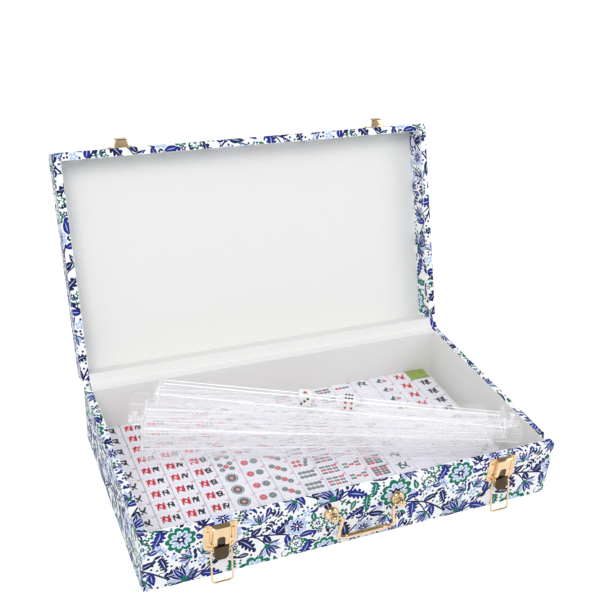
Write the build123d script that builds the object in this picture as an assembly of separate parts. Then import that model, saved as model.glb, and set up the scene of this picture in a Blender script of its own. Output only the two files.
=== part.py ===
"""Mahjong case: a paper-covered board case with a hinged lid, two draw latches and a
drop handle, holding a layer of tiles, four clear racks with pushers and two dice.

Millimetres, +Z up.  The origin is the centre of the tray's underside, +X runs along the
length and -Y faces the side with the latches.  The lid is drawn closed and then turned
back to its open stop, which is how the case stands.
"""
import math
import os

from build123d import *

# ---- case ---------------------------------------------------------------------------
tray_height = 75.0
lid_height = 33.0
rim_gap = 0.3  # between the two rims when the lid is shut
corner_radius = 3.5  # upright corners
rim_bevel = 1.2  # easing of both rims
top_bevel = 2.0  # easing around the lid's top
wall_board = 9.0
floor_board = 2.6
lid_board = 3.0
cover = 0.5  # printed paper wrap
lining = 0.4  # plain inside paper
base_sheet = 0.4
hinge_turn = 1.6  # printed paper turned over the outer edge of the hinge-side rims
open_angle = 111.4  # lid leaning back on its hinge stops
spare_length = 11.4  # inside length beside the laid tiles
spare_width = 19.45  # inside width beside a full column of tiles

# ---- hinges -------------------------------------------------------------------------
hinge_inset = 91.0  # hinge's middle from the end of the case
hinge_width = 45.0
hinge_leaf_height = 20.0
hinge_leaf = 1.0
hinge_offset = 3.9  # pin's centre behind the back face
knuckle_radius = 3.2
knuckle_gap = 0.3
hinge_pin_radius = 1.2
running_clearance = 0.1
stop_lug_reach = 2.2
stop_gap = 0.3
rivet_radius = 2.2
rivet_height = 1.1

# ---- latches ------------------------------------------------------------------------
latch_left_inset = 85.0  # latch's middle from the end of the case
latch_right_inset = 75.0
plate = 1.0  # sheet of the latch bases and catches
base_width = 38.0
base_height = 35.0
base_drop = 1.5  # top of the base under the rim
base_corner = 8.0
bridge_width = 18.4
bridge_reach = 5.0
bridge_wall = 0.8
bridge_height = 24.0
lip_width = 20.0
lip_height = 3.0
scoop_width = 9.0
scoop_height = 12.0
scoop_depth = 0.35
rib_radius = 2.2  # half the rib's width
rib_reach = 1.4
rib_height = 15.0
lever_width = 17.0
lever_length = 13.5
lever_sheet = 1.2
lever_flare = 3.0
lever_pin_reach = 4.0  # pin's centre out from the front face
lever_pin_radius = 1.0
lever_knuckle = 2.2
ear = 1.0
ear_radius = 2.6
side_gap = 0.3
loop_wire = 1.1  # wire radius
loop_width = 23.5  # between the legs' centres
loop_corner = 3.6
loop_arm = 4.0  # loop's pivot below the lever's pin
foot_gap = 0.4  # hanging loop above the ground
least_lean = 4.0  # of a loop that clears the ground, against the plate

# ---- catches on the lid --------------------------------------------------------------
seat_rise = 3.1  # hooked loop's bar above the rim of the lid
catch_width = 34.0
catch_height = 18.0
hook_sheet = 1.2
hook_width = 18.6
hook_tip_width = 13.4
hook_reach = 12.5
hook_rise = 7.0
hook_bend = 3.0
seat_gap = 0.15

# ---- handle --------------------------------------------------------------------------
handle_spacing = 83.0
handle_z = 51.0
handle_reach = 11.0
rosette_radius = 8.6
rosette_height = 6.0
neck_radius = 3.4
ball_radius = 4.7
bail_radius = 2.0
bail_top = 31.0  # arms from the middle, at the top
bail_bottom = 35.5  # and at the bottom
bail_drop = 31.0
bail_bend = 4.5
grip_radius = 3.2
grip_length = 52.0
grip_taper = 4.0

# ---- tiles ---------------------------------------------------------------------------
tile_length = 29.8
tile_width = 22.0
tile_height = 11.4
tile_gap = 0.25
tile_edge = 1.0
tile_rows = 11
tile_columns = 16
full_columns = 6  # these have every row; the others stop one short
laid_order = [  # column by column from the left, back to front
    ("tiles_winds", 11),
    ("tiles_characters", 36),
    ("tiles_dots", 29),
    ("tiles_bamboo", 3),
    ("tiles_dots", 7),
    ("tiles_bamboo", 33),
    ("tiles_jokers", 8),
    ("tiles_blank", 9),
    ("tiles_flowers", 8),
    ("tiles_blank", 2),
    ("tiles_dragons", 8),
    ("tiles_blank", 2),
    ("tile_face_down", 1),
    ("tiles_winds", 5),
    ("tiles_dragons", 4),
]

# ---- racks ---------------------------------------------------------------------------
rack_room = 58.2  # inside length of the tray less the length of a rack
rack_depth = 62.0
rack_height = 17.8
rack_wall = 2.6
rack_end = 3.0
shelf_width = 20.0  # flat top where groups of tiles are shown
rest_lean = 8.0  # how far the tile rest's foot stands behind the shelf
trough_lip = 8.0  # height of the low wall that the player's tiles stand against
rack_gap = 0.3
rack_corner = 5.0
pusher_depth = 13.4
pusher_low = 6.2
pusher_corner = 8.0
arm_width = 16.8
arm_gap = 0.6
pivot_y = 12.0
pusher_pin_radius = 2.0
pusher_pin_head = 3.4
rack_side_room = 2.0  # top rack's corners to the tray's long walls
low_rack_turns = [17.0, 19.0, 21.0]  # the lower racks lie less askew
low_rack_shift_x = [4.0, 7.0, 9.0]
low_rack_shift_y = [7.0, 9.0, 11.0]
end_for_end = [2]  # racks turned end for end
top_rack_end_room = 2.2  # top rack's pusher to the tray's right wall

# ---- dice ----------------------------------------------------------------------------
die_size = 16.0
die_edge = 1.2
die_places = [(-32.0, 3.0), (22.0, -2.0)]  # along the top rack's shelf, and turned on it

# ---- fineness of small round forms -----------------------------------------------------
small_sides = 12  # pins, their holes and rivets
bar_sides = 10
turned_sides = 20  # handle posts and grip
bend_steps = 3  # straight runs in a bend of wire or bar

# ---- sizes that follow ---------------------------------------------------------------
tray_inside = tile_columns * (tile_length + tile_gap) + spare_length
tray_inside_width = tile_rows * (tile_width + tile_gap) + spare_width
case_length = tray_inside + 2 * (lining + wall_board + cover)
case_width = tray_inside_width + 2 * (lining + wall_board + cover)
half_length = case_length / 2
half_width = case_width / 2
front_face = -half_width
inner_x = half_length - cover - wall_board
inner_y = half_width - cover - wall_board
floor_top = base_sheet + floor_board + lining
lid_rim = tray_height + rim_gap
lid_top = lid_rim + lid_height
hinge_y = half_width + hinge_offset
hinge_z = tray_height + rim_gap / 2
hinge_axis = Axis((0, hinge_y, hinge_z), (1, 0, 0))
tile_top = floor_top + tile_height
latch_left_x = -half_length + latch_left_inset
latch_right_x = half_length - latch_right_inset
hinge_x = half_length - hinge_inset
base_top = tray_height - base_drop
lever_pin_z = base_top - lip_height - bridge_height - lever_knuckle - 0.8
loop_z = lever_pin_z - loop_arm
loop_reach = lever_pin_reach + 0.5
loop_drop = loop_z - loop_wire - foot_gap
seat_z = lid_rim + seat_rise  # the loop's bar when it is hooked over the catch
loop_length = seat_z - loop_z
upright = math.cos(math.radians(least_lean))
loop_lean = math.degrees(math.acos(min(loop_drop / loop_length, upright)))
rack_length = tray_inside - rack_room
rack_reach = rack_length / 2 + arm_gap + arm_width  # pusher's end from the rack's middle


def block(x0, x1, y0, y1, z0, z1):
    """Box given by its limits along each axis."""
    return Pos((x0 + x1) / 2, (y0 + y1) / 2, (z0 + z1) / 2) * Box(x1 - x0, y1 - y0, z1 - z0)


def rounded_block(length, width, z0, z1, radius):
    """Upright block with rounded vertical corners, centred on the origin."""
    return Pos(0, 0, z0) * extrude(RectangleRounded(length, width, radius), z1 - z0)


def rod(radius, start, end, sides=0):
    """Bar between two points, round or with a number of sides inside that radius."""
    path = Vector(*end) - Vector(*start)
    section = RegularPolygon(radius, sides) if sides else Circle(radius)
    return extrude(Plane(origin=start, z_dir=path) * section, path.length)


def bent_bar(radius, corners, bends):
    """Bar bent through a list of points; each bend is drawn as a few short straight runs."""
    route = FilletPolyline(*corners, radius=bends)
    points = [route @ 0]
    for edge in route.edges():
        steps = 1 if edge.geom_type == GeomType.LINE else bend_steps
        points += [edge @ (k / steps) for k in range(1, steps + 1)]
    path = Polyline(*points)
    section = Plane(origin=path @ 0, z_dir=path % 0) * RegularPolygon(radius, bar_sides)
    return sweep(section, path, transition=Transition.RIGHT)


def turned(origin, direction, stations):
    """Turned form along an axis from (distance, radius) stations, with flat-sided rings."""
    rings = []
    for along, radius in stations:
        ring = Plane(origin=Vector(*origin) + Vector(*direction) * along, z_dir=direction)
        turn = 2 * math.pi / turned_sides
        rings.append([
            ring.from_local_coords((radius * math.cos(k * turn), radius * math.sin(k * turn), 0))
            for k in range(turned_sides)
        ])
    outlines = [rings[0], rings[-1]]
    for near, far in zip(rings, rings[1:]):
        for k in range(turned_sides):
            outlines.append([near[k - 1], near[k], far[k], far[k - 1]])
    return Solid(Shell([Face(Wire.make_polygon(outline)) for outline in outlines]))


def across_x(points, x0, x1):
    """Outline given as (y, z) points, extruded from x0 to x1."""
    face = Plane.YZ * make_face(Polyline(*points, close=True))
    return Pos(x0, 0, 0) * extrude(face, x1 - x0, dir=(1, 0, 0))


def opened(shape):
    """Turn a piece of the closed lid back to its open stop."""
    return shape.rotate(hinge_axis, -open_angle)


def four_boards(carcass, names):
    """Cut a rectangular ring of board into front, back, left and right boards."""
    far = case_length
    cuts = [
        block(-far, far, -far, -inner_y, -far, far),
        block(-far, far, inner_y, far, -far, far),
        block(-far, -inner_x, -inner_y, inner_y, -far, far),
        block(inner_x, far, -inner_y, inner_y, -far, far),
    ]
    return {name: carcass & cut for name, cut in zip(names, cuts)}


# ---- tray ------------------------------------------------------------------------------
def tray():
    core = rounded_block(
        case_length - 2 * cover, case_width - 2 * cover, 0, tray_height - cover, corner_radius - cover
    )
    core = chamfer(core.edges().group_by(Axis.Z)[-1], rim_bevel - cover / 2)
    skin = rounded_block(case_length, case_width, 0, tray_height, corner_radius)
    skin = chamfer(skin.edges().group_by(Axis.Z)[-1], rim_bevel)
    room = block(-inner_x, inner_x, -inner_y, inner_y, 0, 2 * tray_height)
    hinge_strip = block(
        -inner_x, inner_x, inner_y, half_width - hinge_turn, tray_height - cover, tray_height
    )
    sheet = core & block(-case_length, case_length, -case_width, case_width, 0, base_sheet)
    names = ["tray_front_board", "tray_back_board", "tray_left_board", "tray_right_board"]
    pieces = four_boards(core - sheet - room, names)
    pieces["tray_cover"] = skin - core - room - hinge_strip
    pieces["tray_base_sheet"] = sheet
    pieces["tray_floor_board"] = block(
        -inner_x, inner_x, -inner_y, inner_y, base_sheet, base_sheet + floor_board
    )
    pieces["tray_floor_lining"] = block(
        -inner_x, inner_x, -inner_y, inner_y, base_sheet + floor_board, floor_top
    )
    room_inside = block(
        -inner_x + lining, inner_x - lining, -inner_y + lining, inner_y - lining, 0, 2 * tray_height
    )
    wall = block(-inner_x, inner_x, -inner_y, inner_y, floor_top, tray_height) - room_inside
    pieces["tray_wall_lining"] = wall + hinge_strip
    return pieces


# ---- lid -------------------------------------------------------------------------------
def lid():
    panel_under = lid_top - cover - lid_board
    core = rounded_block(
        case_length - 2 * cover,
        case_width - 2 * cover,
        lid_rim + cover,
        lid_top - cover,
        corner_radius - cover,
    )
    core = chamfer(core.edges().group_by(Axis.Z)[-1], top_bevel - cover / 2)
    core = chamfer(core.edges().group_by(Axis.Z)[0], rim_bevel - cover / 2)
    skin = rounded_block(case_length, case_width, lid_rim, lid_top, corner_radius)
    skin = chamfer(skin.edges().group_by(Axis.Z)[-1], top_bevel)
    skin = chamfer(skin.edges().group_by(Axis.Z)[0], rim_bevel)
    room = block(-inner_x, inner_x, -inner_y, inner_y, lid_rim - 1, lid_top - cover)
    hinge_strip = block(
        -inner_x, inner_x, inner_y, half_width - hinge_turn, lid_rim, lid_rim + cover
    )
    names = ["lid_front_board", "lid_back_board", "lid_left_board", "lid_right_board"]
    pieces = four_boards(core - room, names)
    pieces["lid_cover"] = skin - core - room - hinge_strip
    pieces["lid_panel_board"] = block(
        -inner_x, inner_x, -inner_y, inner_y, panel_under, lid_top - cover
    )
    pieces["lid_panel_lining"] = block(
        -inner_x, inner_x, -inner_y, inner_y, panel_under - lining, panel_under
    )
    ring = block(-inner_x, inner_x, -inner_y, inner_y, lid_rim, panel_under - lining)
    ring -= block(
        -inner_x + lining, inner_x - lining, -inner_y + lining, inner_y - lining, lid_rim, lid_top
    )
    pieces["lid_wall_lining"] = ring + hinge_strip
    return {name: opened(piece) for name, piece in pieces.items()}


# ---- hinges ----------------------------------------------------------------------------
def knuckle(x0, x1):
    outer = rod(knuckle_radius, (x0, hinge_y, hinge_z), (x1, hinge_y, hinge_z))
    return outer - hinge_bore(x0 - 1, x1 + 1)


def hinge_bore(x0, x1):
    bore = (hinge_pin_radius + running_clearance) / math.cos(math.pi / small_sides)
    return rod(bore, (x0, hinge_y, hinge_z), (x1, hinge_y, hinge_z), small_sides)


def leaf(side, spans, other_spans):
    """Hinge leaf on the back face: side is -1 on the tray and +1 on the lid."""
    edge = hinge_z + side * rim_gap / 2
    far = edge + side * hinge_leaf_height
    half = hinge_width / 2
    low, high = min(edge, far), max(edge, far)
    sheet = block(-half, half, half_width, half_width + hinge_leaf, low, high)
    corners = [e for e in sheet.edges().filter_by(Axis.Y) if abs(e.center().Z - far) < 0.1]
    sheet = fillet(corners, 4.0)
    for x0, x1 in other_spans:
        room = knuckle_radius + knuckle_gap
        sheet -= rod(room, (x0 - knuckle_gap, hinge_y, hinge_z), (x1 + knuckle_gap, hinge_y, hinge_z))
    for x0, x1 in spans:
        curl = hinge_z + side * knuckle_radius * 0.85
        web = block(
            x0, x1, half_width + hinge_leaf / 2, hinge_y - hinge_pin_radius,
            min(edge, curl), max(edge, curl),
        )
        web -= hinge_bore(x0 - 1, x1 + 1)
        sheet = sheet + web + knuckle(x0, x1)
    return sheet


def stop_lug(x0, x1):
    """Lug under a lid knuckle that meets the tray's leaf when the lid is open."""
    front = half_width + hinge_leaf + stop_gap
    return block(
        x0, x1, front, front + 1.6,
        hinge_z - knuckle_radius - stop_lug_reach, hinge_z - knuckle_radius * 0.6,
    )


def hinges():
    half = hinge_width / 2
    inner = hinge_width / 6
    middle = [(-inner + knuckle_gap / 2, inner - knuckle_gap / 2)]
    outer = [(-half, -inner - knuckle_gap / 2), (inner + knuckle_gap / 2, half)]
    tray_leaf = leaf(-1, middle, outer)
    lid_leaf = opened(leaf(1, outer, middle))
    for x0, x1 in outer:
        lid_leaf = lid_leaf + stop_lug(x0 + 3, x1 - 3)
    ends = (-half - 1, hinge_y, hinge_z), (half + 1, hinge_y, hinge_z)
    pin = rod(hinge_pin_radius, *ends, small_sides)
    below = hinge_z - hinge_leaf_height * 0.55
    above = hinge_z + hinge_leaf_height * 0.55
    places = [Pos(-hinge_x, 0, 0), Pos(hinge_x, 0, 0)]
    face = half_width + hinge_leaf
    tray_rivets = [rivet((x, face, below), (0, 1, 0)) for x in (-half * 0.6, half * 0.6)]
    lid_rivets = [opened(rivet((x, face, above), (0, 1, 0))) for x in (-half * 0.6, half * 0.6)]
    return {
        "tray_hinge_leaves": [at * tray_leaf for at in places],
        "lid_hinge_leaves": [at * lid_leaf for at in places],
        "hinge_pins": [at * pin for at in places],
        "tray_hinge_rivets": [at * r for at in places for r in tray_rivets],
        "lid_hinge_rivets": [at * r for at in places for r in lid_rivets],
    }


def rivet(centre, out):
    """Flat rivet head standing on a face."""
    head = Plane(origin=centre, z_dir=out) * RegularPolygon(rivet_radius, small_sides // 2)
    return extrude(head, rivet_height)


# ---- latches ---------------------------------------------------------------------------
def latch_base():
    """Pressed base plate: wings with ribs, a lip, a bridge and two ears for the lever."""
    low = base_top - base_height
    face = front_face
    sheet = block(-base_width / 2, base_width / 2, face - plate, face, low, base_top)
    upright = sheet.edges().filter_by(Axis.Y)
    sheet = fillet(upright.group_by(Axis.Z)[0], base_corner)
    sheet = fillet(sheet.edges().filter_by(Axis.Y).group_by(Axis.Z)[-1], 2.0)
    bridge_top = base_top - lip_height
    bridge_low = bridge_top - bridge_height
    bridge = block(
        -bridge_width / 2, bridge_width / 2, face - bridge_reach, face - plate, bridge_low, bridge_top
    )
    bridge = fillet(
        [e for e in bridge.edges().filter_by(Axis.Z) if e.center().Y < face - bridge_reach + 0.1], 1.2
    )
    inside = bridge_width / 2 - bridge_wall
    bridge -= block(
        -inside, inside, face - bridge_reach + bridge_wall, face, bridge_low, bridge_top - bridge_wall
    )
    scoop = block(
        -scoop_width / 2, scoop_width / 2, face - bridge_reach, face - bridge_reach + scoop_depth,
        bridge_low, bridge_low + scoop_height,
    )
    scoop = fillet(scoop.edges().filter_by(Axis.Y).group_by(Axis.Z)[-1], scoop_width * 0.4)
    lip = across_x(
        [
            (face - plate, bridge_top),
            (face - bridge_reach - 0.8, bridge_top),
            (face - bridge_reach - 0.8, bridge_top + 0.8),
            (face - plate - 1.0, base_top),
            (face - plate, base_top),
        ],
        -lip_width / 2,
        lip_width / 2,
    )
    base = sheet + (bridge - scoop) + lip
    rib_x = (base_width / 2 + bridge_width / 2) / 2
    rib_mid = base_top - base_height * 0.42
    for side in (-1, 1):
        x = side * rib_x
        bead = block(x - rib_radius, x + rib_radius, face - plate - rib_reach, face - plate / 2,
                     rib_mid - rib_height / 2, rib_mid + rib_height / 2)
        crest = [e for e in bead.edges().filter_by(Axis.Z) if e.center().Y < face - plate]
        bead = chamfer(crest, rib_reach * 0.8)
        base += bead
        x0 = side * (lever_width / 2 + side_gap)
        x1 = x0 + side * ear
        lug = rod(ear_radius, (x0, face - lever_pin_reach, lever_pin_z),
                  (x1, face - lever_pin_reach, lever_pin_z), small_sides)
        lug += block(min(x0, x1), max(x0, x1), face - lever_pin_reach, face - plate / 2,
                     lever_pin_z - ear_radius, lever_pin_z + ear_radius)
        base += lug
    return base - lever_pin_bore(0)


def lever_pin_bore(clearance):
    reach = lever_width / 2 + side_gap + ear
    y = front_face - lever_pin_reach
    ends = (-reach, y, lever_pin_z), (reach, y, lever_pin_z)
    return rod(lever_pin_radius + clearance, *ends, small_sides)


def latch_lever():
    """Duck-bill lever: a knuckle on the pin, a flared bill and cheeks that carry the loop."""
    y0 = front_face - lever_pin_reach
    z0 = lever_pin_z
    half = lever_width / 2
    outer = Vector(y0 - lever_knuckle, z0)
    tip = Vector(outer.X - lever_flare, z0 - lever_length)
    bend = Vector(outer.X - lever_flare * 0.2, z0 - lever_length * 0.5)
    outside = ThreePointArc((outer.X, outer.Y), (bend.X, bend.Y), (tip.X, tip.Y))
    inside = ThreePointArc(
        (tip.X + lever_sheet, tip.Y),
        (bend.X + lever_sheet, bend.Y),
        (outer.X + lever_sheet, outer.Y),
    )
    ends = [
        Line((tip.X, tip.Y), (tip.X + lever_sheet, tip.Y)),
        Line((outer.X + lever_sheet, outer.Y), (outer.X, outer.Y)),
    ]
    bill = Plane.YZ * make_face(outside + ends[0] + inside + ends[1])
    bill = Pos(-half, 0, 0) * extrude(bill, lever_width, dir=(1, 0, 0))
    outline = block(-half, half, tip.X - 5, y0 + 5, tip.Y, z0 + 5)
    outline = fillet(outline.edges().filter_by(Axis.Y).group_by(Axis.Z)[0], half * 0.7)
    bill &= outline
    lever = bill + rod(lever_knuckle, (-half, y0, z0), (half, y0, z0))
    for side in (-1, 1):
        x0, x1 = sorted((side * half, side * (half - lever_sheet)))
        cheek = across_x(
            [
                (outer.X + 0.3, z0),
                (y0 + 1.6, z0),
                (y0 + 1.6, loop_z - 2.2),
                (outer.X + 0.3, loop_z - 2.2),
            ],
            x0,
            x1,
        )
        lever += cheek
    reach = lever_width
    y = front_face - loop_reach
    ends = (-reach, y, loop_z), (reach, y, loop_z)
    lever -= rod((loop_wire + running_clearance) * 1.03, *ends, small_sides)
    return lever - lever_pin_bore(running_clearance)


def latch_loop():
    """Wire loop hanging from the lever's cheeks, its foot leaning out to the ground."""
    y = front_face - loop_reach
    inward = lever_width / 2 - lever_sheet - 1.0
    half = loop_width / 2
    foot = loop_z - loop_length
    corners = [
        (-inward, y, loop_z), (-half, y, loop_z), (-half, y, foot),
        (half, y, foot), (half, y, loop_z), (inward, y, loop_z),
    ]
    wire = bent_bar(loop_wire, corners, [1.8, loop_corner, loop_corner, 1.8])
    return wire.rotate(Axis((0, y, loop_z), (1, 0, 0)), -loop_lean)


def catch():
    """Strike on the lid's front: a plate whose tongue turns out and up into a hook."""
    face = front_face
    low = seat_z - loop_wire - seat_gap - hook_sheet
    sheet = block(-catch_width / 2, catch_width / 2, face - plate, face, low, low + catch_height)
    sheet = fillet(sheet.edges().filter_by(Axis.Y), 3.0)
    out = face - hook_reach
    bend = out + hook_rise * 0.35
    under = [(face - plate / 2, low), (bend, low), (out, low + hook_rise)]
    over = [
        (out + hook_sheet, low + hook_rise),
        (bend + hook_sheet * 0.6, low + hook_sheet),
        (face - plate / 2, low + hook_sheet),
    ]
    tongue = across_x(under + over, -hook_width / 2, hook_width / 2)
    bends = [e for e in tongue.edges().filter_by(Axis.X) if abs(e.center().Y - bend) < hook_sheet]
    tongue = fillet(bends, hook_bend * 0.6)
    taper = Plane.XY * make_face(
        Polyline(
            (-hook_width / 2, face),
            (hook_width / 2, face),
            (hook_tip_width / 2, out),
            (-hook_tip_width / 2, out),
            close=True,
        )
    )
    tongue &= Pos(0, 0, low - 1) * extrude(taper, hook_rise + 5)
    return sheet + tongue


def latches():
    low = base_top - base_height
    rivet_x = (base_width / 2 + bridge_width / 2) / 2
    face = front_face - plate
    on_base = [(x, z) for x in (-rivet_x, rivet_x) for z in (low + 5.0, base_top - 3.6)]
    base_rivets = [rivet((x, face, z), (0, -1, 0)) for x, z in on_base]
    catch_rivet_x = (catch_width / 2 + hook_width / 2) / 2 - 0.3
    catch_z = seat_z + catch_height * 0.4
    catch_rivets = [rivet((x, face, catch_z), (0, -1, 0)) for x in (-catch_rivet_x, catch_rivet_x)]
    places = {"left": Pos(latch_left_x, 0, 0), "right": Pos(latch_right_x, 0, 0)}
    pieces = {
        "latch_bases": [at * latch_base() for at in places.values()],
        "latch_base_rivets": [at * r for at in places.values() for r in base_rivets],
        "latch_lever_pins": [at * lever_pin_bore(0) for at in places.values()],
        "catches": [opened(at * catch()) for at in places.values()],
        "catch_rivets": [opened(at * r) for at in places.values() for r in catch_rivets],
    }
    for side, at in places.items():
        pieces["latch_lever_" + side] = at * latch_lever()
        pieces["latch_loop_" + side] = at * latch_loop()
    return pieces


# ---- handle ----------------------------------------------------------------------------
def handle():
    out = front_face - handle_reach
    neck_end = handle_reach - math.sqrt(ball_radius**2 - neck_radius**2)
    angles = [math.radians(a) for a in (0, 35, 68)]
    skirt = 1.2
    dome = [
        (skirt + (rosette_height - skirt) * math.sin(a), rosette_radius * math.cos(a))
        for a in angles
    ]
    ball = [
        (handle_reach + ball_radius * math.sin(a), ball_radius * math.cos(a)) for a in angles
    ]
    stations = [(0, rosette_radius), *dome, (neck_end, neck_radius), *ball]
    bore = bail_radius + running_clearance
    span = handle_spacing / 2
    posts = []
    for side in (-1, 1):
        at = turned((side * span, front_face, handle_z), (0, -1, 0), stations)
        ends = (side * (span - rosette_radius), out, handle_z), (side * (span + rosette_radius), out, handle_z)
        at -= rod(bore * 1.02, *ends, small_sides)
        posts.append(at)
    tip = span + ball_radius + 0.6
    foot = handle_z - bail_drop
    corners = [
        (-tip, out, handle_z), (-bail_top, out, handle_z), (-bail_bottom, out, foot),
        (bail_bottom, out, foot), (bail_top, out, handle_z), (tip, out, handle_z),
    ]
    bail = bent_bar(bail_radius, corners, bail_bend)
    half = grip_length / 2
    grip = turned(
        (-half, out, foot),
        (1, 0, 0),
        [
            (0, bail_radius),
            (grip_taper, grip_radius),
            (grip_length - grip_taper, grip_radius),
            (grip_length, bail_radius),
        ],
    )
    return {"handle_posts": posts, "handle_bail": bail + grip}


# ---- tiles -----------------------------------------------------------------------------
def tiles():
    body = Pos(0, 0, tile_height / 2) * Box(tile_length, tile_width, tile_height)
    body = chamfer(body.edges().group_by(Axis.Z)[-1], tile_edge)
    back_up = Pos(0, 0, tile_height) * Rot(180, 0, 0) * body
    places = [
        (column, row)
        for column in range(tile_columns)
        for row in range(tile_rows if column < full_columns else tile_rows - 1)
    ]
    names = [name for name, count in laid_order for _ in range(count)]
    x0 = -inner_x + lining + tile_gap + tile_length / 2
    y0 = inner_y - lining - tile_gap - tile_width / 2
    pieces = {}
    for (column, row), name in zip(places, names):
        x = x0 + column * (tile_length + tile_gap)
        y = y0 - row * (tile_width + tile_gap)
        shape = back_up if name == "tile_face_down" else body
        pieces.setdefault(name, []).append(Pos(x, y, floor_top) * shape)
    return pieces


# ---- racks -----------------------------------------------------------------------------
def rack_section():
    """Extruded section: a flat shelf over a closed cell, a leaning rest and a low back lip."""
    back = rack_depth / 2
    front = -back + pusher_depth + arm_gap
    edge = front + shelf_width
    foot = edge + rest_lean
    wall, top = rack_wall, rack_height
    slope = rest_lean / (top - wall)
    outer = [
        (front, 0), (back, 0), (back, trough_lip), (back - wall, trough_lip), (back - wall, wall),
        (foot, wall), (edge, top), (front, top),
    ]
    cell = [
        (front + wall, wall), (foot - wall * 1.13, wall),
        (edge - wall * 1.13 + slope * wall, top - wall), (front + wall, top - wall),
    ]
    return outer, cell


def rack():
    """One rack with its origin under its middle: body, end plates, pusher and pusher pin."""
    end = rack_length / 2
    outer, cell = rack_section()
    run = (-end + rack_end, end - rack_end)
    body = across_x(outer, *run) - across_x(cell, *run)
    back = rack_depth / 2
    front = -back + pusher_depth + arm_gap
    plates = []
    for x0, x1 in ((-end, -end + rack_end), (end - rack_end, end)):
        panel = block(x0, x1, front, back, 0, rack_height)
        back_top = [e for e in panel.edges().filter_by(Axis.X) if e.center().Y > 0 < e.center().Z]
        plates.append(fillet(back_top, rack_corner))
    arm = arm_width / 2
    pivot_x = end + arm_gap + arm
    low, high = pusher_low, rack_height
    ear_top = low - rack_gap
    tab = block(end - rack_end / 2, pivot_x, pivot_y - arm, pivot_y + arm, 0, ear_top)
    tab += rod(arm, (pivot_x, pivot_y, 0), (pivot_x, pivot_y, ear_top))
    hole = rod(pusher_pin_radius, (pivot_x, pivot_y, -1), (pivot_x, pivot_y, rack_height), small_sides)
    plates[1] = plates[1] + tab - hole
    head = 1.8
    arm_top = high - head - rack_gap
    bar = block(-end + 1.0, pivot_x + arm, -back, -back + pusher_depth, low, high)
    corner = bar.edges().filter_by(Axis.Z).group_by(Axis.X)[-1].sort_by(Axis.Y)[0]
    bar = fillet(corner, pusher_corner)
    bar += block(end + arm_gap, pivot_x + arm, -back + pusher_depth / 2, pivot_y, low, arm_top)
    bar += rod(arm, (pivot_x, pivot_y, low), (pivot_x, pivot_y, arm_top))
    bore = pusher_pin_radius + running_clearance
    bar -= rod(bore * 1.02, (pivot_x, pivot_y, low - 1), (pivot_x, pivot_y, high + 1), small_sides)
    neck = (pivot_x, pivot_y, arm_top + rack_gap)
    pin = rod(pusher_pin_radius, (pivot_x, pivot_y, 0), neck, small_sides)
    pin += rod(pusher_pin_head, neck, (pivot_x, pivot_y, high), small_sides)
    return {"body": body, "end_plates": plates, "pusher": bar, "pusher_pin": pin}


def top_rack_place():
    """Middle and turn of the top rack, which lies as far askew as the long walls let it."""
    span = rack_length / 2 + rack_reach
    room = tray_inside_width - 2 * rack_side_room
    turn = math.asin(room / math.hypot(span, rack_depth)) - math.atan2(rack_depth, span)
    end_reach = rack_reach * math.cos(turn) + rack_depth / 2 * math.sin(turn)
    x = tray_inside / 2 - top_rack_end_room - end_reach
    y = (rack_reach - rack_length / 2) / 2 * math.sin(turn)
    return x, y, math.degrees(turn)


def rack_places():
    """Middle and turn of each rack, from the lowest up."""
    top = top_rack_place()
    places = list(zip(low_rack_shift_x, low_rack_shift_y, low_rack_turns))
    return [(x, y, min(turn, top[2])) for x, y, turn in places] + [top]


def rack_location(number):
    x, y, turn = rack_places()[number]
    z = tile_top + rack_gap + number * (rack_height + rack_gap)
    return Pos(x, y, z) * Rot(0, 0, -turn + (180 if number in end_for_end else 0))


def racks():
    pieces = {}
    parts = rack()
    for number in range(len(rack_places())):
        at = rack_location(number)
        for name, piece in parts.items():
            solids = piece if isinstance(piece, list) else [piece]
            pieces[f"rack_{number + 1}_{name}"] = [at * solid for solid in solids]
    return pieces


# ---- dice ------------------------------------------------------------------------------
def dice():
    """Two dice standing on the top rack's shelf."""
    cube = Pos(0, 0, die_size / 2) * Box(die_size, die_size, die_size)
    cube = chamfer(cube.edges(), die_edge)
    shelf_middle = -rack_depth / 2 + pusher_depth + arm_gap + shelf_width / 2
    shelf = rack_location(len(rack_places()) - 1) * Pos(0, shelf_middle, rack_height + rack_gap)
    pieces = {}
    for name, (along, turn) in zip(("die_left", "die_right"), die_places):
        pieces[name] = shelf * Pos(along, 0, 0) * Rot(0, 0, turn) * cube
    return pieces


def main():
    os.makedirs("parts", exist_ok=True)
    pieces = {}
    for group in (tray(), lid(), hinges(), latches(), handle(), tiles(), racks(), dice()):
        pieces.update(group)
    for name, piece in pieces.items():
        solids = piece if isinstance(piece, list) else [piece]
        flat = [s for solid in solids for s in solid.solids()]
        shape = flat[0] if len(flat) == 1 else Compound(children=flat)
        export_step(shape, f"parts/{name}.step")
    print(len(pieces), "nodes")
    print("racks", [tuple(round(v, 3) for v in place) for place in rack_places()])


main()
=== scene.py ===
"""Looks of the mahjong case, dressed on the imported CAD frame. Sizes here are in millimetres
and become metres when a mesh is made; the frame's +Z is up and -Y faces the latch side."""
from contextlib import contextmanager
from math import asin, atan2, ceil, cos, dist, floor, pi, radians, sin, tan
import random

import bmesh
import bpy
import numpy as np
from mathutils import Matrix, Vector
from mathutils.geometry import delaunay_2d_cdt


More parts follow.
